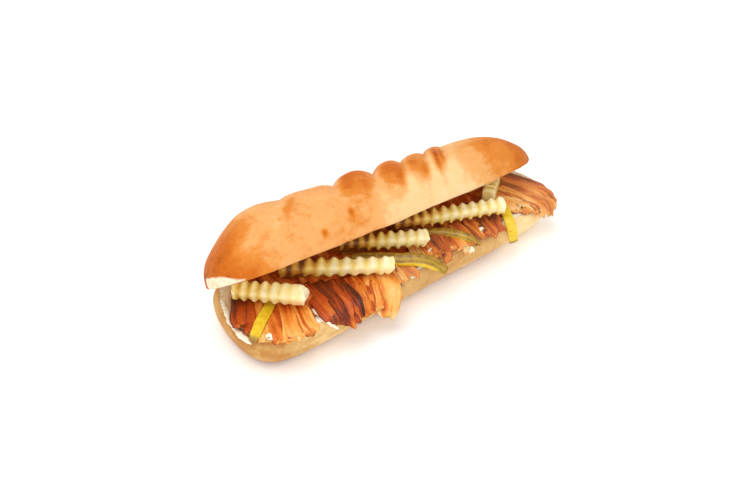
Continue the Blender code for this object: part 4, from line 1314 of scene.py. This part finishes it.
def make_meat(material, ceiling):
    rng = random.Random(SLICE_DRAWS)
    looks = random.Random(STRIP_DRAWS)
    seeds = count(*SLICE_SEEDS)
    rings, tone = make_bed()
    parts = [(press_under(rings, ceiling), {"tone": tone, "dry": 0.0})]
    for bunch in BUNCHES:
        for rings, tone in chain(bunch_slices(bunch, rng, looks, seeds), bunch_strips(bunch, looks, seeds)):
            parts.append((press_under(rings, ceiling), {"tone": tone, "dry": bunch.dry}))
    return add_tubes("meat_slices", parts, material, capped=True)


def ceiling_tree(nodes):
    """What lies on the meat, as one tree for casting rays."""
    points = []
    faces = []
    for node in nodes:
        start = len(points)
        points += [v.co.copy() for v in node.data.vertices]
        faces += [[start + i for i in p.vertices] for p in node.data.polygons]
    return BVHTree.FromPolygons(points, faces)


# --- Stage ---

def make_floor():
    bpy.ops.mesh.primitive_plane_add(size=FLOOR_SIZE, location=(0, 0, -FLOOR_DEPTH))
    floor = bpy.context.object
    floor.name = "studio_floor"
    floor.data.materials.append(floor_material())


def aim(item, target):
    item.rotation_euler = (Vector(target) - item.location).to_track_quat("-Z", "Y").to_euler()


def make_light(name, place, size, power):
    data = bpy.data.lights.new(name, "AREA")
    data.shape = "DISK"
    data.size = size
    data.energy = power
    data.color = LIGHT_COLOUR
    light = add_object(name, data)
    light.location = place
    aim(light, LIGHT_TARGET)


def make_studio():
    world = bpy.data.worlds.new("studio")
    bpy.context.scene.world = world
    world.use_nodes = True
    sky = world.node_tree.nodes["Background"].inputs
    sky["Color"].default_value = (1.0, 1.0, 1.0, 1.0)
    sky["Strength"].default_value = SKY_STRENGTH
    for light in LIGHTS:
        make_light(*light)
    bpy.context.scene.view_settings.view_transform = "Standard"


def make_camera():
    turn, rise = math.radians(CAMERA_TURN), math.radians(CAMERA_RISE)
    target = in_frame(CAMERA_TARGET)
    back = Vector((math.sin(turn) * math.cos(rise), -math.cos(turn) * math.cos(rise), math.sin(rise)))
    data = bpy.data.cameras.new("camera")
    data.lens = CAMERA_LENS
    data.sensor_width = CAMERA_SENSOR
    data.sensor_fit = "HORIZONTAL"
    data.clip_start = CAMERA_NEAREST
    camera = add_object("camera", data)
    camera.location = target + back * CAMERA_DISTANCE
    aim(camera, target)
    bpy.context.scene.camera = camera


def main():
    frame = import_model()
    make_camera()
    make_studio()
    make_floor()
    golden_crust = crust_material("golden_crust", TOP_CRUST, TOP_MOTTLING)
    tan_crust = crust_material("tan_crust", BASE_CRUST, PALE_MOTTLING)
    potato = potato_material()
    pickle = pickle_material()
    finish_piece(make_roll_top(golden_crust), "crust", "roll_top")
    finish_piece(make_roll_bottom(tan_crust), "crust", "roll_bottom")
    finish_piece(make_sauce(sauce_material()), "sauce", "sauce")
    for fry in FRIES:
        finish_piece(make_fry(fry, potato), "potato", fry.name)
    for spec in PICKLES:
        finish_piece(make_pickle(spec, pickle), "pickle", spec[0])
    toppings = [frame["nodes"][spec[0]] for spec in FRIES + PICKLES]
    finish_piece(make_meat(meat_material(), ceiling_tree(toppings)), "meat", "meat")


main()
